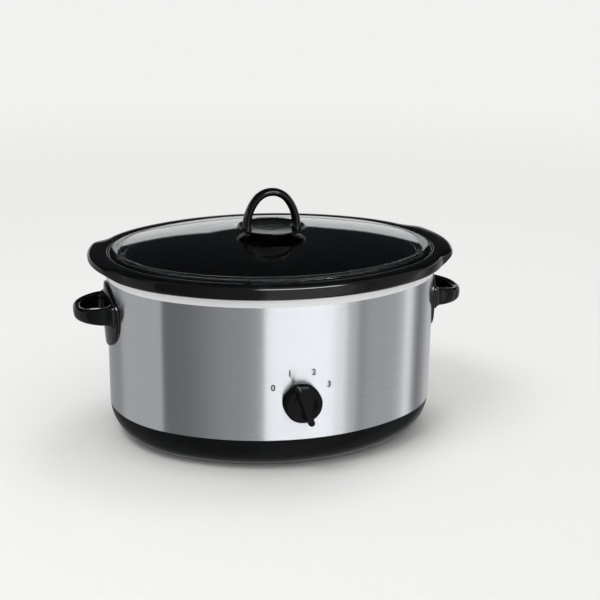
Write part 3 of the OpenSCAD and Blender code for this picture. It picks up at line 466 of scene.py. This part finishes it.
def holed_wall(offset):
    """Wall of the wrap at one offset, as station columns and level rows. Round the cord's hole
    at the back, the cells of a window give way to rings that turn from the window's outline to
    the circle: 1 - t times the outline plus t times the circle, on the wall. Returns the wall
    and the rings, and how many rows and outline points they have."""
    rows = np.concatenate([np.linspace(BAND_TOP, INLET_Z - WINDOW_HALF, SILL_ROWS),
                           INLET_Z + np.linspace(-WINDOW_HALF, WINDOW_HALF, WINDOW_ROWS)[1:],
                           np.linspace(INLET_Z + WINDOW_HALF, WRAP_TOP, HEAD_ROWS)[1:]])
    x, y = oval(STATIONS[:, None], offset)
    grid = np.stack(np.broadcast_arrays(x, y, rows), -1).reshape(-1, 3)
    faces = quads(len(STATIONS), len(rows), True, False)
    back = np.flatnonzero(np.abs(STATIONS - np.pi / 2) * SIDE_R < WINDOW_HALF + 1e-6)
    u, v = faces[:, 0] // len(rows), faces[:, 0] % len(rows)
    first, last = SILL_ROWS - 1, SILL_ROWS + WINDOW_ROWS - 2
    window = (u >= back[0]) & (u < back[-1]) & (v >= first) & (v < last)
    w, h = STATIONS[back] - np.pi / 2, rows[first:last + 1]
    edge = np.concatenate([np.stack([w, np.full(len(w), h[0])], -1)[:-1],
                           np.stack([np.full(len(h), w[-1]), h], -1)[:-1],
                           np.stack([w[::-1], np.full(len(w), h[-1])], -1)[:-1],
                           np.stack([np.full(len(h), w[0]), h[::-1]], -1)[:-1]])
    turn = np.arctan2(edge[:, 1] - INLET_Z, edge[:, 0] * SIDE_R)
    circle = np.stack([BUSH_R * np.cos(turn) / SIDE_R, INLET_Z + BUSH_R * np.sin(turn)], -1)
    t = np.linspace(0, 1, HOLE_RINGS)[:, None, None]
    patch = (1 - t) * edge + t * circle
    px, py = oval(patch[..., 0] + np.pi / 2, offset)
    rings = np.stack([px, py, patch[..., 1]], -1).reshape(-1, 3)
    return ((grid, [faces[~window]]),
            (rings, [quads(HOLE_RINGS, len(edge), False, True)[:, ::-1]]),
            len(rows), len(edge))


def steel_wrap():
    """Sheet steel: two holed walls, joined along the top, the foot and the hole."""
    wall, hole, rows, edge = holed_wall(0.0)
    inner_wall, inner_hole = holed_wall(-SHEET)[:2]
    parts = [wall, hole]
    for grid, sets in (inner_wall, inner_hole):
        parts.append((grid, [f[:, ::-1] for f in sets]))
    for row in (0, rows - 1):
        a = wall[0].reshape(-1, rows, 3)[:, row]
        b = inner_wall[0].reshape(-1, rows, 3)[:, row]
        strip = quads(len(a), 2, True, False)
        parts.append((np.stack([a, b], 1).reshape(-1, 3),
                      [strip if row else strip[:, ::-1]]))
    a, b = hole[0][-edge:], inner_hole[0][-edge:]
    parts.append((np.stack([a, b], 1).reshape(-1, 3), [quads(edge, 2, True, False)]))
    return parts


solid("steel_wrap", steel_wrap(), "housing", steel, ["outer_wrap"], 30)

WELL_MID, WELL_WALL, WELL_NECK = -100.0, -19.0, -14.0     # offsets
# Above the last of these heights the rolled rim is painted near white as its highlight.
NECK_FOOT, NECK_TOP, PAINTED_HIGHLIGHT_FOOT = 125.0, 165.0, 178.0    # heights
well = rounded([(WELL_MID, WELL_FOOT), (WELL_WALL, WELL_FOOT, 8), (WELL_WALL, NECK_FOOT, 20),
                (WELL_NECK, NECK_TOP, 20), (WELL_NECK, RIM_TOP, 3), (SHEET, RIM_TOP, 3),
                (SHEET, RIM_FOOT, 0.3), (0, RIM_FOOT, 0.3), (0, RIM_TOP - SHEET, 2.2),
                (WELL_NECK + SHEET, RIM_TOP - SHEET, 2.2), (WELL_NECK + SHEET, NECK_TOP, 20),
                (WELL_WALL + SHEET, NECK_FOOT, 20),
                (WELL_WALL + SHEET, WELL_FOOT - SHEET, 8 + SHEET),
                (WELL_MID, WELL_FOOT - SHEET)], 8)
lined = solid("well_with_rolled_rim", [ring(well, closed=False)], "housing", rim_steel,
              ["heating_well"], 50)
# Below this height the well is grey aluminised metal; above it the rim keeps the near-white
# painted highlight.
repaint(lined, well_steel, lambda middles: middles[:, 2] < PAINTED_HIGHLIGHT_FOOT)

BAND_STEP, BAND_IN, BAND_T = 0.3, -56.0, 2.5      # step under the wrap, inner edge, wall
BULGE_R, BULGE_TURN = 39.22, 61                   # arc of the band's side
LIP_OUT, LIP_IN, LIP_TOP = -1.0, -3.5, 44.8       # lip inside the wrap
w = np.radians(np.linspace(0, -BULGE_TURN, 25))
band = np.concatenate([
    np.stack([-BAND_STEP - BULGE_R + BULGE_R * np.cos(w), BAND_TOP + BULGE_R * np.sin(w)], -1),
    [[BAND_IN, BAND_FOOT], [BAND_IN, BAND_FOOT + BAND_T]],
    np.stack([-BAND_STEP - BULGE_R + (BULGE_R - BAND_T) * np.cos(w[::-1]),
              BAND_TOP + (BULGE_R - BAND_T) * np.sin(w[::-1])], -1)[1:-4],
    [[LIP_IN, BAND_TOP - 3], [LIP_IN, LIP_TOP], [LIP_OUT, LIP_TOP], [LIP_OUT, BAND_TOP]]])
solid("base_band_moulding", [ring(band)], "housing", band_plastic,
      ["base_band"], 35)

# ---- Crock -------------------------------------------------------------------------------

EAR_HALF, EAR_BLEND = math.radians(32), math.radians(12)
EAR_REACH, EAR_T = 8.0, 7.0
FLANGE_OUT, FLANGE_IN, FLANGE_H = 11.5, -1.9, 15.0


def ear(angle):
    """Share of an ear at an angle: 3t^2 - 2t^3, where t runs from 0 to 1 over the blend."""
    t = np.clip((EAR_HALF - np.abs((angle + np.pi / 2) % np.pi - np.pi / 2)) / EAR_BLEND, 0, 1)
    return t * t * (3 - 2 * t)


def crock_section(share):
    """The crock's wall, whose flange gets longer and thinner with the share of an ear."""
    out, thick = FLANGE_OUT + EAR_REACH * share, FLANGE_H + (EAR_T - FLANGE_H) * share
    return rounded([(-60, CROCK_FOOT + 1.5), (-43.5, CROCK_FOOT + 1.5, 0.5),
                    (-42, CROCK_FOOT, 0.5), (-23.5, CROCK_FOOT, 11), (-16.5, RIM_TOP, 2),
                    (5.5, RIM_TOP), (out, FLANGE_TOP - thick, min(4, 0.4 * thick)),
                    (out, FLANGE_TOP, min(6, 0.5 * thick)), (FLANGE_IN, FLANGE_TOP, 1.2),
                    (FLANGE_IN, LEDGE, 0.6), (-23, LEDGE, 4), (-30, CAVITY_FOOT, 14),
                    (-60, CAVITY_FOOT)], 8)


solid("glazed_crock", [ring([crock_section(k) for k in ear(STATIONS)], closed=False)], "crock",
      glaze, ["stoneware"], 60)

# ---- Lid ---------------------------------------------------------------------------------

DOME_IN, LEVEL_IN = 13.0, 120.0       # insets where the dome starts and where it is level
DOME_RUN, DOME_H = LEVEL_IN - DOME_IN, GLASS_TOP - DOME_FOOT
DOME_R = (DOME_RUN ** 2 + DOME_H ** 2) / (2 * DOME_H)
RIM_IN, BEAD_R = 2.7, GLASS_T / 2     # inset of the glass's rim, and its round edge
SEAT_IN, STEP_IN = 10.0, 11.2         # insets where the flat rim ends and its step up
SCREW_R, SHEET_RINGS = 3.5, 6         # hole for the screw, and rings from the dome to it


def dome(inset, drop=0.0):
    """Height of the dome at an inset: a circle of the dome's radius below its level top."""
    d = np.maximum(LEVEL_IN - inset, 0)
    return GLASS_TOP - DOME_R + np.sqrt(DOME_R ** 2 - d ** 2) - drop


edge_w = np.radians(np.linspace(-90, 90, 13))
rise = np.linspace(DOME_IN, LEVEL_IN, 28)
lid = np.concatenate([
    np.stack([-rise[::-1], dome(rise[::-1], GLASS_T)], -1),
    [[-STEP_IN, LEDGE + 1.2], [-SEAT_IN, LEDGE]],
    np.stack([-RIM_IN - BEAD_R + BEAD_R * np.cos(edge_w),
              LEDGE + BEAD_R + BEAD_R * np.sin(edge_w)], -1),
    [[-SEAT_IN, LEDGE + GLASS_T], [-STEP_IN, LEDGE + GLASS_T + 0.9]],
    np.stack([-rise, dome(rise)], -1)])
lid_grid = ring(lid)[0]
n, m = len(STATIONS), len(lid)
top = lid_grid.reshape(n, m, 3)[:, -1]
low = lid_grid.reshape(n, m, 3)[:, 0]
flat = np.arctan2(top[:, 1], top[:, 0])
hole = SCREW_R * np.stack([np.cos(flat), np.sin(flat)], -1)
t = np.linspace(0, 1, SHEET_RINGS)[:, None, None]
sheets = []
for edge, z in ((top, GLASS_TOP), (low, GLASS_TOP - GLASS_T)):
    xy = (1 - t) * edge[:, :2] + t * hole
    sheets.append(np.concatenate([xy, np.full((SHEET_RINGS, n, 1), z)], -1))
parts = [(lid_grid, [quads(n, m, True, False)]),
         (sheets[0].reshape(-1, 3), [quads(SHEET_RINGS, n, False, True)[:, ::-1]]),
         (sheets[1].reshape(-1, 3), [quads(SHEET_RINGS, n, False, True)]),
         (np.stack([sheets[0][-1], sheets[1][-1]]).reshape(-1, 3),
          [quads(2, n, False, True)[:, ::-1]])]
solid("glass_lid", parts, "lid", glass, ["lid_glass"], 60)

# ---- Lid handle --------------------------------------------------------------------------

DISC_R, DISC_FOOT, DISC_TOP = 37.75, 220.5, 228.0
BOW_FOOT, BOW_TOP, BOW_T, BOW_B = 224.0, 269.0, 8.5, 14.0
BOW_HALF, CROWN_R = 27.25, 22.0
FLARE, FLARE_STATIONS = 6.0, 11       # growth of the bow at its feet, and where it has gone
BOW_POWER = 2.1                       # of its pebble section


def bow_path():
    """Middle line of the bow from the right foot over the crown to the left foot: a stub, a
    flank arc of radius f whose centre is f - half off the middle, and the crown's arc. With
    rise h of the crown's centre, f = (h^2 + half^2 - crown^2) / (2 (half - crown))."""
    h = BOW_TOP - BOW_T / 2 - CROWN_R - DISC_TOP
    f = (h ** 2 + BOW_HALF ** 2 - CROWN_R ** 2) / (2 * (BOW_HALF - CROWN_R))
    meet = math.atan2(h, f - BOW_HALF)
    foot = np.linspace(0, 1, 6)[:-1, None]
    flank = np.linspace(0, meet, 12)[:-1, None]
    crown = np.linspace(meet, np.pi - meet, 33)[:, None]
    right = np.concatenate([
        np.concatenate([BOW_HALF + 0 * foot, BOW_FOOT + (DISC_TOP - BOW_FOOT) * foot,
                        0 * foot], 1),
        np.concatenate([BOW_HALF - f + f * np.cos(flank), DISC_TOP + f * np.sin(flank),
                        flank], 1)])
    top = np.concatenate([CROWN_R * np.cos(crown), DISC_TOP + h + CROWN_R * np.sin(crown),
                          crown], 1)
    left = right[::-1] * [-1, 1, -1] + [0, 0, np.pi]
    return np.concatenate([right, top, left])


line = bow_path()
way_up = np.minimum(np.arange(len(line)), np.arange(len(line))[::-1])
flare = FLARE * np.clip(1 - way_up / FLARE_STATIONS, 0, 1) ** 2
zero = np.zeros(len(line))
bow = swept(np.stack([line[:, 0], zero, line[:, 1]], -1),
            np.stack([np.cos(line[:, 2]), zero, np.sin(line[:, 2])], -1),
            np.tile([0.0, 1.0, 0.0], (len(line), 1)),
            pebble(BOW_T + flare, BOW_B + flare, BOW_POWER))
disc = rounded([(0.01, DISC_FOOT), (18.8, DISC_FOOT, 0.4), (30, 222, 8), (36.6, 225, 3),
                (DISC_R, 226.9, 0.9), (DISC_R - 1.3, DISC_TOP, 0.6), (35.2, 226.5, 0.9),
                (14, 226.0, 30), (0.01, 225.9)], 6)
solid("bow_and_disc", [bow, turned(disc[::-1], 128, True)], "lid", grip_plastic,
      ["lid_handle"], 50)

# ---- Side handles ------------------------------------------------------------------------

PLATE_Z, PLATE_W, PLATE_H, PLATE_T = 139.8, 86.0, 69.0, 4.5
PLATE_EDGE, PLATE_ROLL, ROLL_IN = 1.5, 1.6, 2.2   # rim: wall, rise and width of its roll
LOOP_Z, LOOP_REACH, LOOP_HALF, LOOP_R = 144.5, 217.0, 31.0, 27.0
LOOP_T, LOOP_H, ARM_GAIN, ARM_RUN = 9.0, 13.6, 5.4, 24.0     # the arms grow taller inwards
LOOP_ROOT = 176.0                     # x where an arm starts, inside the plate
ROOT_X, ROOT_RUN, ROOT_GAIN = 181.0, 6.0, 5.0     # its swelling where it meets the plate
ARM_LIFT, LOOP_POWER = 0.15, 2.8      # share of its growth by which an arm rises; its section


def side_plate():
    """Oval plate on the end arc: the outline of a four-centre oval, moved in by e, stands h
    off the steel, x = end_x + sqrt((end_r + h)^2 - y^2). From its rolled rim it grows thicker
    to the middle: PLATE_T less a share squared of what the rim lacks."""
    er, sr = (1.5 * PLATE_H - PLATE_W / 2) / 2, PLATE_W - PLATE_H / 2
    ex, sy = 0.75 * (PLATE_W - PLATE_H), PLATE_W - PLATE_H
    w = np.arange(96) * 2 * np.pi / 96
    c, s = np.cos(w), np.sin(w)
    end = np.abs(c) >= 0.6
    roll = np.radians(np.linspace(0, 90, 7))
    e = np.concatenate([[0.0], ROLL_IN - ROLL_IN * np.cos(roll)])
    h = np.concatenate([[0.0], PLATE_EDGE + PLATE_ROLL * np.sin(roll)])
    y = np.where(end, np.sign(c) * ex + (er - e[:, None]) * c, (sr - e[:, None]) * c)
    z = np.where(end, (er - e[:, None]) * s, (sr - e[:, None]) * s - np.sign(s) * sy)
    share = np.linspace(1, 0.02, 12)[1:, None]
    y = np.concatenate([y, y[-1] * share, y[0] * share[::-1]])
    z = np.concatenate([z, z[-1] * share, z[0] * share[::-1]])
    crest = PLATE_T - (PLATE_T - PLATE_EDGE - PLATE_ROLL) * share[:, 0] ** 2
    h = np.concatenate([h, crest, np.zeros(len(share))])[:, None]
    x = END_X + np.sqrt((END_R + h) ** 2 - y ** 2)
    return np.stack([x, y, PLATE_Z + z], -1).reshape(-1, 3), [quads(len(h), 96, True, True)]


def side_loop():
    """D-shaped loop: an arm, a quarter turn of radius LOOP_R, the tip and back again. Its
    section grows taller along the arms, and thicker all round by a square at the root."""
    tip = LOOP_REACH - LOOP_T / 2
    turn = np.linspace(0, np.pi / 2, 17)[:, None]
    arm = np.linspace(LOOP_ROOT, tip - LOOP_R, 14)[:-1, None]
    half = np.concatenate([
        np.concatenate([arm, LOOP_HALF + 0 * arm, np.pi / 2 + 0 * arm], 1),
        np.concatenate([tip - LOOP_R + LOOP_R * np.sin(turn),
                        LOOP_HALF - LOOP_R + LOOP_R * np.cos(turn), np.pi / 2 - turn], 1)])
    line = np.concatenate([half, half[::-1] * [1, -1, -1]])
    root = ROOT_GAIN * np.clip(1 - (line[:, 0] - ROOT_X) / ROOT_RUN, 0, 1.2) ** 2
    taller = ARM_GAIN * np.clip((tip - line[:, 0]) / ARM_RUN, 0, 1)
    one = np.ones(len(line))
    return swept(np.stack([line[:, 0], line[:, 1], LOOP_Z + ARM_LIFT * taller], -1),
                 np.stack([np.cos(line[:, 2]), np.sin(line[:, 2]), 0 * one], -1),
                 np.tile([0.0, 0.0, 1.0], (len(line), 1)),
                 pebble(LOOP_T + root, LOOP_H + taller + root, LOOP_POWER))


grip = [side_plate(), side_loop()]
for name, node, flip in (("right_grip", "handle_right", 1), ("left_grip", "handle_left", -1)):
    solid(name, [(p * [flip, flip, 1], f) for p, f in grip], "housing", grip_plastic,
          [node], 50)

# ---- Knob --------------------------------------------------------------------------------

KNOB_R, KNOB_T, DIAL_Y, DIAL_TURN = 20.0, 11.0, -145.2, 20
BAR_H, BAR_W, BAR_TIP, BAR_TAIL, BAR_EDGE = 9.8, 9.0, 24, -22, 1.3
TIP_R, SHOULDER, SHOULDER_R, BAR_DRAFT = 2.0, 6.6, 5.0, 1.1
MATT_IN, MATT_SHORT = 0.6, 2.2        # limits of the skirt's matt side


def bar(inset):
    """Outline of the grip bar, drawn in by inset: a pointed end and a round tail."""
    half, tip, tail = BAR_W / 2 - inset, BAR_TIP - inset, BAR_TAIL + inset
    return rounded([(0, tip, TIP_R), (half, tip - SHOULDER, SHOULDER_R),
                    (half, tail, 0.98 * half), (-half, tail, 0.98 * half),
                    (-half, tip - SHOULDER, SHOULDER_R)], 8)


def on_knob(points):
    """From the knob's own frame, with its axis along z and the pointer along y, to the front
    of the steel at the angle where the pointer rests."""
    w = math.radians(DIAL_TURN)
    x = points[:, 0] * math.cos(w) - points[:, 1] * math.sin(w)
    y = points[:, 0] * math.sin(w) + points[:, 1] * math.cos(w)
    return np.stack([x, DIAL_Y - points[:, 2], KNOB_Z + y], -1)


skirt = rounded([(0.01, 0.4), (KNOB_R, 0.4, 0.4), (KNOB_R - 0.3, KNOB_T, 2.6),
                 (KNOB_R - 4.6, KNOB_T + 0.4, 3), (KNOB_R - 10, KNOB_T - 0.9, 8),
                 (0.01, KNOB_T - 1.0)], 10)
round_top = np.radians(np.linspace(0, 80, 6))
levels = [(0.0, KNOB_T - 5), (0.05, KNOB_T - 1)]
levels += [(BAR_DRAFT + BAR_EDGE * (1 - math.cos(w)),
            KNOB_T + BAR_H - BAR_EDGE + BAR_EDGE * math.sin(w)) for w in round_top]
rows = np.stack([np.concatenate([bar(d), np.full((len(bar(d)), 1), z)], 1)
                 for d, z in levels])
k, m = rows.shape[:2]
crest = rows[-1:] * [0.0, 1.0, 1.0] + [0, 0, 0.05]
rows = np.concatenate([rows[:1] * [0.0, 1.0, 1.0], rows, crest])
handle_bar = (on_knob(rows.reshape(-1, 3)), [quads(k + 2, m, False, True)])
body, faces = turned(skirt, 128, True)
knob = solid("dished_knob", [(on_knob(body), faces), handle_bar], "knob", knob_plastic,
             ["control_knob"], 40)
repaint(knob, skirt_plastic,
        lambda middles: (np.hypot(middles[:, 0], middles[:, 2] - KNOB_Z) > KNOB_R - MATT_IN)
        & (middles[:, 1] > DIAL_Y - KNOB_T + MATT_SHORT))

# ---- Dial numbers ------------------------------------------------------------------------

DIAL_NUMBERS = (("0", -61), ("1", -22), ("2", 22), ("3", 61))     # degrees from upright
NUMBER_REACH, NUMBER_H, INK_T, BOLDER = 33.7, 7.0, 0.05, 0.035


def numeral(text, turn_deg):
    """A printed numeral: its outline laid on the steel's front arc, x as arc length over the
    side radius and y as height, proud by the ink's thickness."""
    curve = bpy.data.curves.new("numeral_" + text, "FONT")
    curve.body = text
    curve.align_x, curve.align_y = "CENTER", "CENTER"
    curve.offset = BOLDER
    maker = bpy.data.objects.new("numeral_maker", curve)
    mesh = bpy.data.meshes.new_from_object(maker)
    points = np.empty(len(mesh.vertices) * 3)
    mesh.vertices.foreach_get("co", points)
    points = points.reshape(-1, 3)
    low, high = points.min(0), points.max(0)
    points = (points - (low + high) / 2) * NUMBER_H / (high[1] - low[1])
    w = math.radians(turn_deg)
    arc = -np.pi / 2 + (points[:, 0] + NUMBER_REACH * math.sin(w)) / SIDE_R
    x, y = oval(arc, INK_T)
    z = KNOB_Z + points[:, 1] + NUMBER_REACH * math.cos(w)
    mesh.vertices.foreach_set(
        "co", (np.stack([x, y + SET_BACK, z], -1) / 1000).reshape(-1))
    bpy.data.objects.remove(maker)
    mesh.materials.clear()
    mesh.materials.append(ink)
    obj = bpy.data.objects.new("numeral_" + text, mesh)
    bpy.context.scene.collection.objects.link(obj)
    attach(obj, "housing")


for text, turn_deg in DIAL_NUMBERS:
    numeral(text, turn_deg)

# ---- Studio ------------------------------------------------------------------------------

BACKDROP = "#f1f1f0"
FLOOR_HALF, FADE_NEAR, FADE_FAR = 8, 0.5, 2.4     # metres; the floor fades to the backdrop

floor_mesh = bpy.data.meshes.new("floor")
floor_mesh.from_pydata([(-FLOOR_HALF, -FLOOR_HALF, 0), (FLOOR_HALF, -FLOOR_HALF, 0),
                        (FLOOR_HALF, FLOOR_HALF, 0), (-FLOOR_HALF, FLOOR_HALF, 0)],
                       [], [(0, 1, 2, 3)])
floor = bpy.data.objects.new("floor", floor_mesh)
bpy.context.scene.collection.objects.link(floor)
floor_paint, tree, shader = start("matt_floor_paint", Roughness=0.9, Specular_IOR_Level=0.0)
shader.inputs["Base Color"].default_value = linear("#e0e0de")
path = add(tree, "LightPath")
where = add(tree, "TexCoord").outputs["Object"]
reach = add(tree, "VectorMath", {0: where}, operation="LENGTH").outputs["Value"]
far = add(tree, "MapRange", {"Value": reach, "From Min": FADE_NEAR, "From Max": FADE_FAR},
          interpolation_type="SMOOTHSTEP").outputs["Result"]
far = add(tree, "Math", {0: far, 1: path.outputs["Is Camera Ray"]}, operation="MULTIPLY")
haze = add(tree, "Emission", {"Color": linear(BACKDROP), "Strength": 1.0})
# Mirrors look through the floor to the world's bands, and glass shows the backdrop's colour
open_floor = add(tree, "BsdfTransparent")
split = add(tree, "MixShader", {0: far.outputs[0], 1: shader.outputs[0], 2: haze.outputs[0]})
split = add(tree, "MixShader", {0: path.outputs["Is Glossy Ray"], 1: split.outputs[0],
                                2: open_floor.outputs[0]})
split = add(tree, "MixShader", {0: path.outputs["Is Transmission Ray"], 1: split.outputs[0],
                                2: haze.outputs[0]})
tree.links.new(split.outputs[0], tree.nodes["Material Output"].inputs["Surface"])
floor_mesh.materials.append(floor_paint)

# Brightness round the studio for what mirrors it, by azimuth from the front (-Y), + to +X
BANDS = ((-180, 0.5), (-160, 0.33), (-140, 0.3), (-132, 0.34), (-128, 0.46), (-74, 0.46),
         (-73.2, 0.43), (-72, 0.15), (-62, 0.165), (-53, 0.185), (-43, 0.235), (-32, 0.3),
         (-20, 0.32), (-13.5, 0.36), (-9, 0.44), (-6.5, 1.0), (-3, 1.07), (32, 1.16),
         (36.5, 0.95), (40.5, 0.98), (43.5, 0.58), (48, 0.56), (51, 0.29), (58, 0.4),
         (78, 0.42), (85, 0.56), (88, 1.05), (92, 0.82), (99, 0.38), (107, 0.2), (118, 0.33),
         (130, 0.55))
PEAK, BAND_TINT = 1.3, (0.985, 0.995, 1.01)

# Heights in the world are the direction's own z, and light is a strength, where 1 is white
DARK_FADE, BEHIND_FADE = 0.08, 0.25
WALL_FOOT, WALL_TOP, WALL_FADE, WALL_LIGHT = -0.02, 0.22, 0.02, 1.0
PANE_LEFT, PANE_RIGHT, PANE_SIDE_FADE = math.radians(-14), math.radians(48), 0.1
PANE_FOOT, PANE_TOP, PANE_FADE, PANE_LIGHT = 0.64, 0.77, 0.01, 24.0
EVEN_LIGHT = 0.86                                 # on all that isn't mirrored
GLASS_HORIZON = 0.12                              # below it glass shows the backdrop

world = bpy.data.worlds.new("studio")
bpy.context.scene.world = world
world.use_nodes = True
world.cycles.sampling_method = "NONE"
tree = world.node_tree
tree.nodes.clear()
way = add(tree, "TexCoord").outputs["Generated"]
axes = add(tree, "SeparateXYZ", {0: way})
front = add(tree, "Math", {0: axes.outputs["Y"], 1: -1.0}, operation="MULTIPLY").outputs[0]
azimuth = add(tree, "Math", {0: axes.outputs["X"], 1: front}, operation="ARCTAN2").outputs[0]
share = add(tree, "MapRange", {"Value": azimuth, "From Min": -math.pi, "From Max": math.pi})
bands = add(tree, "ValToRGB", {"Fac": share.outputs["Result"]})
stops = bands.color_ramp.elements
while len(stops) < len(BANDS):
    stops.new(0.5)
for stop, (degrees, value) in zip(stops, BANDS):
    stop.position = (degrees + 180) / 360
    stop.color = [value / PEAK * k for k in BAND_TINT] + [1]
bright_bands = add(tree, "Background", {"Color": bands.outputs["Color"], "Strength": PEAK})
# Behind, all above the horizon is dark
high = add(tree, "MapRange", {"Value": axes.outputs["Z"], "From Min": -DARK_FADE,
                              "From Max": 0.0})
behind = add(tree, "MapRange", {"Value": front, "From Min": -BEHIND_FADE,
                                "From Max": BEHIND_FADE, "To Min": 1.0, "To Max": 0.0})
shade = add(tree, "Math", {0: high.outputs[0], 1: behind.outputs[0]}, operation="MULTIPLY")
dark = add(tree, "Background", {"Color": linear("#26282a"), "Strength": 1.0})
shaded = add(tree, "MixShader", {0: shade.outputs[0], 1: bright_bands.outputs[0],
                                 2: dark.outputs[0]})


def inside_range(value, start, end, soft):
    """1 between two values, falling to 0 over the soft width at either end."""
    rising = add(tree, "MapRange", {"Value": value, "From Min": start, "From Max": start + soft})
    falling = add(tree, "MapRange", {"Value": value, "From Min": end - soft, "From Max": end,
                                     "To Min": 1.0, "To Max": 0.0})
    return add(tree, "Math", {0: rising.outputs[0], 1: falling.outputs[0]},
               operation="MULTIPLY").outputs[0]


# But for a low bright wall: the lid mirrors it, and the level rims the dark above it
low_wall = add(tree, "Math", {0: inside_range(axes.outputs["Z"], WALL_FOOT, WALL_TOP, WALL_FADE),
                              1: behind.outputs[0]}, operation="MULTIPLY")
wall = add(tree, "Background", {"Color": linear("#e9ebec"), "Strength": WALL_LIGHT})
walled = add(tree, "MixShader", {0: low_wall.outputs[0], 1: shaded.outputs[0],
                                 2: wall.outputs[0]})
# A window, high at the front
pane = add(tree, "Math", {0: inside_range(azimuth, PANE_LEFT, PANE_RIGHT, PANE_SIDE_FADE),
                          1: inside_range(axes.outputs["Z"], PANE_FOOT, PANE_TOP, PANE_FADE)},
           operation="MULTIPLY")
window = add(tree, "Background", {"Color": linear("#fbfcff"), "Strength": PANE_LIGHT})
mirrored = add(tree, "MixShader", {0: pane.outputs[0], 1: walled.outputs[0],
                                   2: window.outputs[0]})
even = add(tree, "Background", {"Color": linear("#ffffff"), "Strength": EVEN_LIGHT})
backdrop = add(tree, "Background", {"Color": linear(BACKDROP), "Strength": 1.0})
path = add(tree, "LightPath")
seen = add(tree, "MixShader", {0: path.outputs["Is Glossy Ray"], 1: even.outputs[0],
                               2: mirrored.outputs[0]})
near_level = add(tree, "Math", {0: axes.outputs["Z"], 1: GLASS_HORIZON},
                 operation="LESS_THAN")
through = add(tree, "Math", {0: near_level.outputs[0], 1: path.outputs["Is Transmission Ray"]},
              operation="MULTIPLY")
through = add(tree, "Math", {0: through.outputs[0], 1: path.outputs["Is Camera Ray"]},
              operation="MAXIMUM")
seen = add(tree, "MixShader", {0: through.outputs[0], 1: seen.outputs[0],
                               2: backdrop.outputs[0]})
add(tree, "OutputWorld", {"Surface": seen.outputs[0]})


def softbox(name, place, width, height, watts):
    """Rectangular lamp that faces the cooker."""
    data = bpy.data.lights.new(name, "AREA")
    data.shape, data.size, data.size_y, data.energy = "RECTANGLE", width, height, watts
    lamp = bpy.data.objects.new(name, data)
    bpy.context.scene.collection.objects.link(lamp)
    lamp.location = place
    lamp.visible_glossy = lamp.visible_transmission = False
    aim = Vector((0, 0, 0.12)) - Vector(place)
    lamp.rotation_euler = aim.to_track_quat("-Z", "Y").to_euler()


softbox("key_softbox", (-0.9, -0.7, 2.0), 0.9, 0.6, 14)
softbox("top_softbox", (0.5, 0.5, 2.2), 0.7, 0.7, 8)

bpy.context.scene.view_settings.view_transform = "Standard"
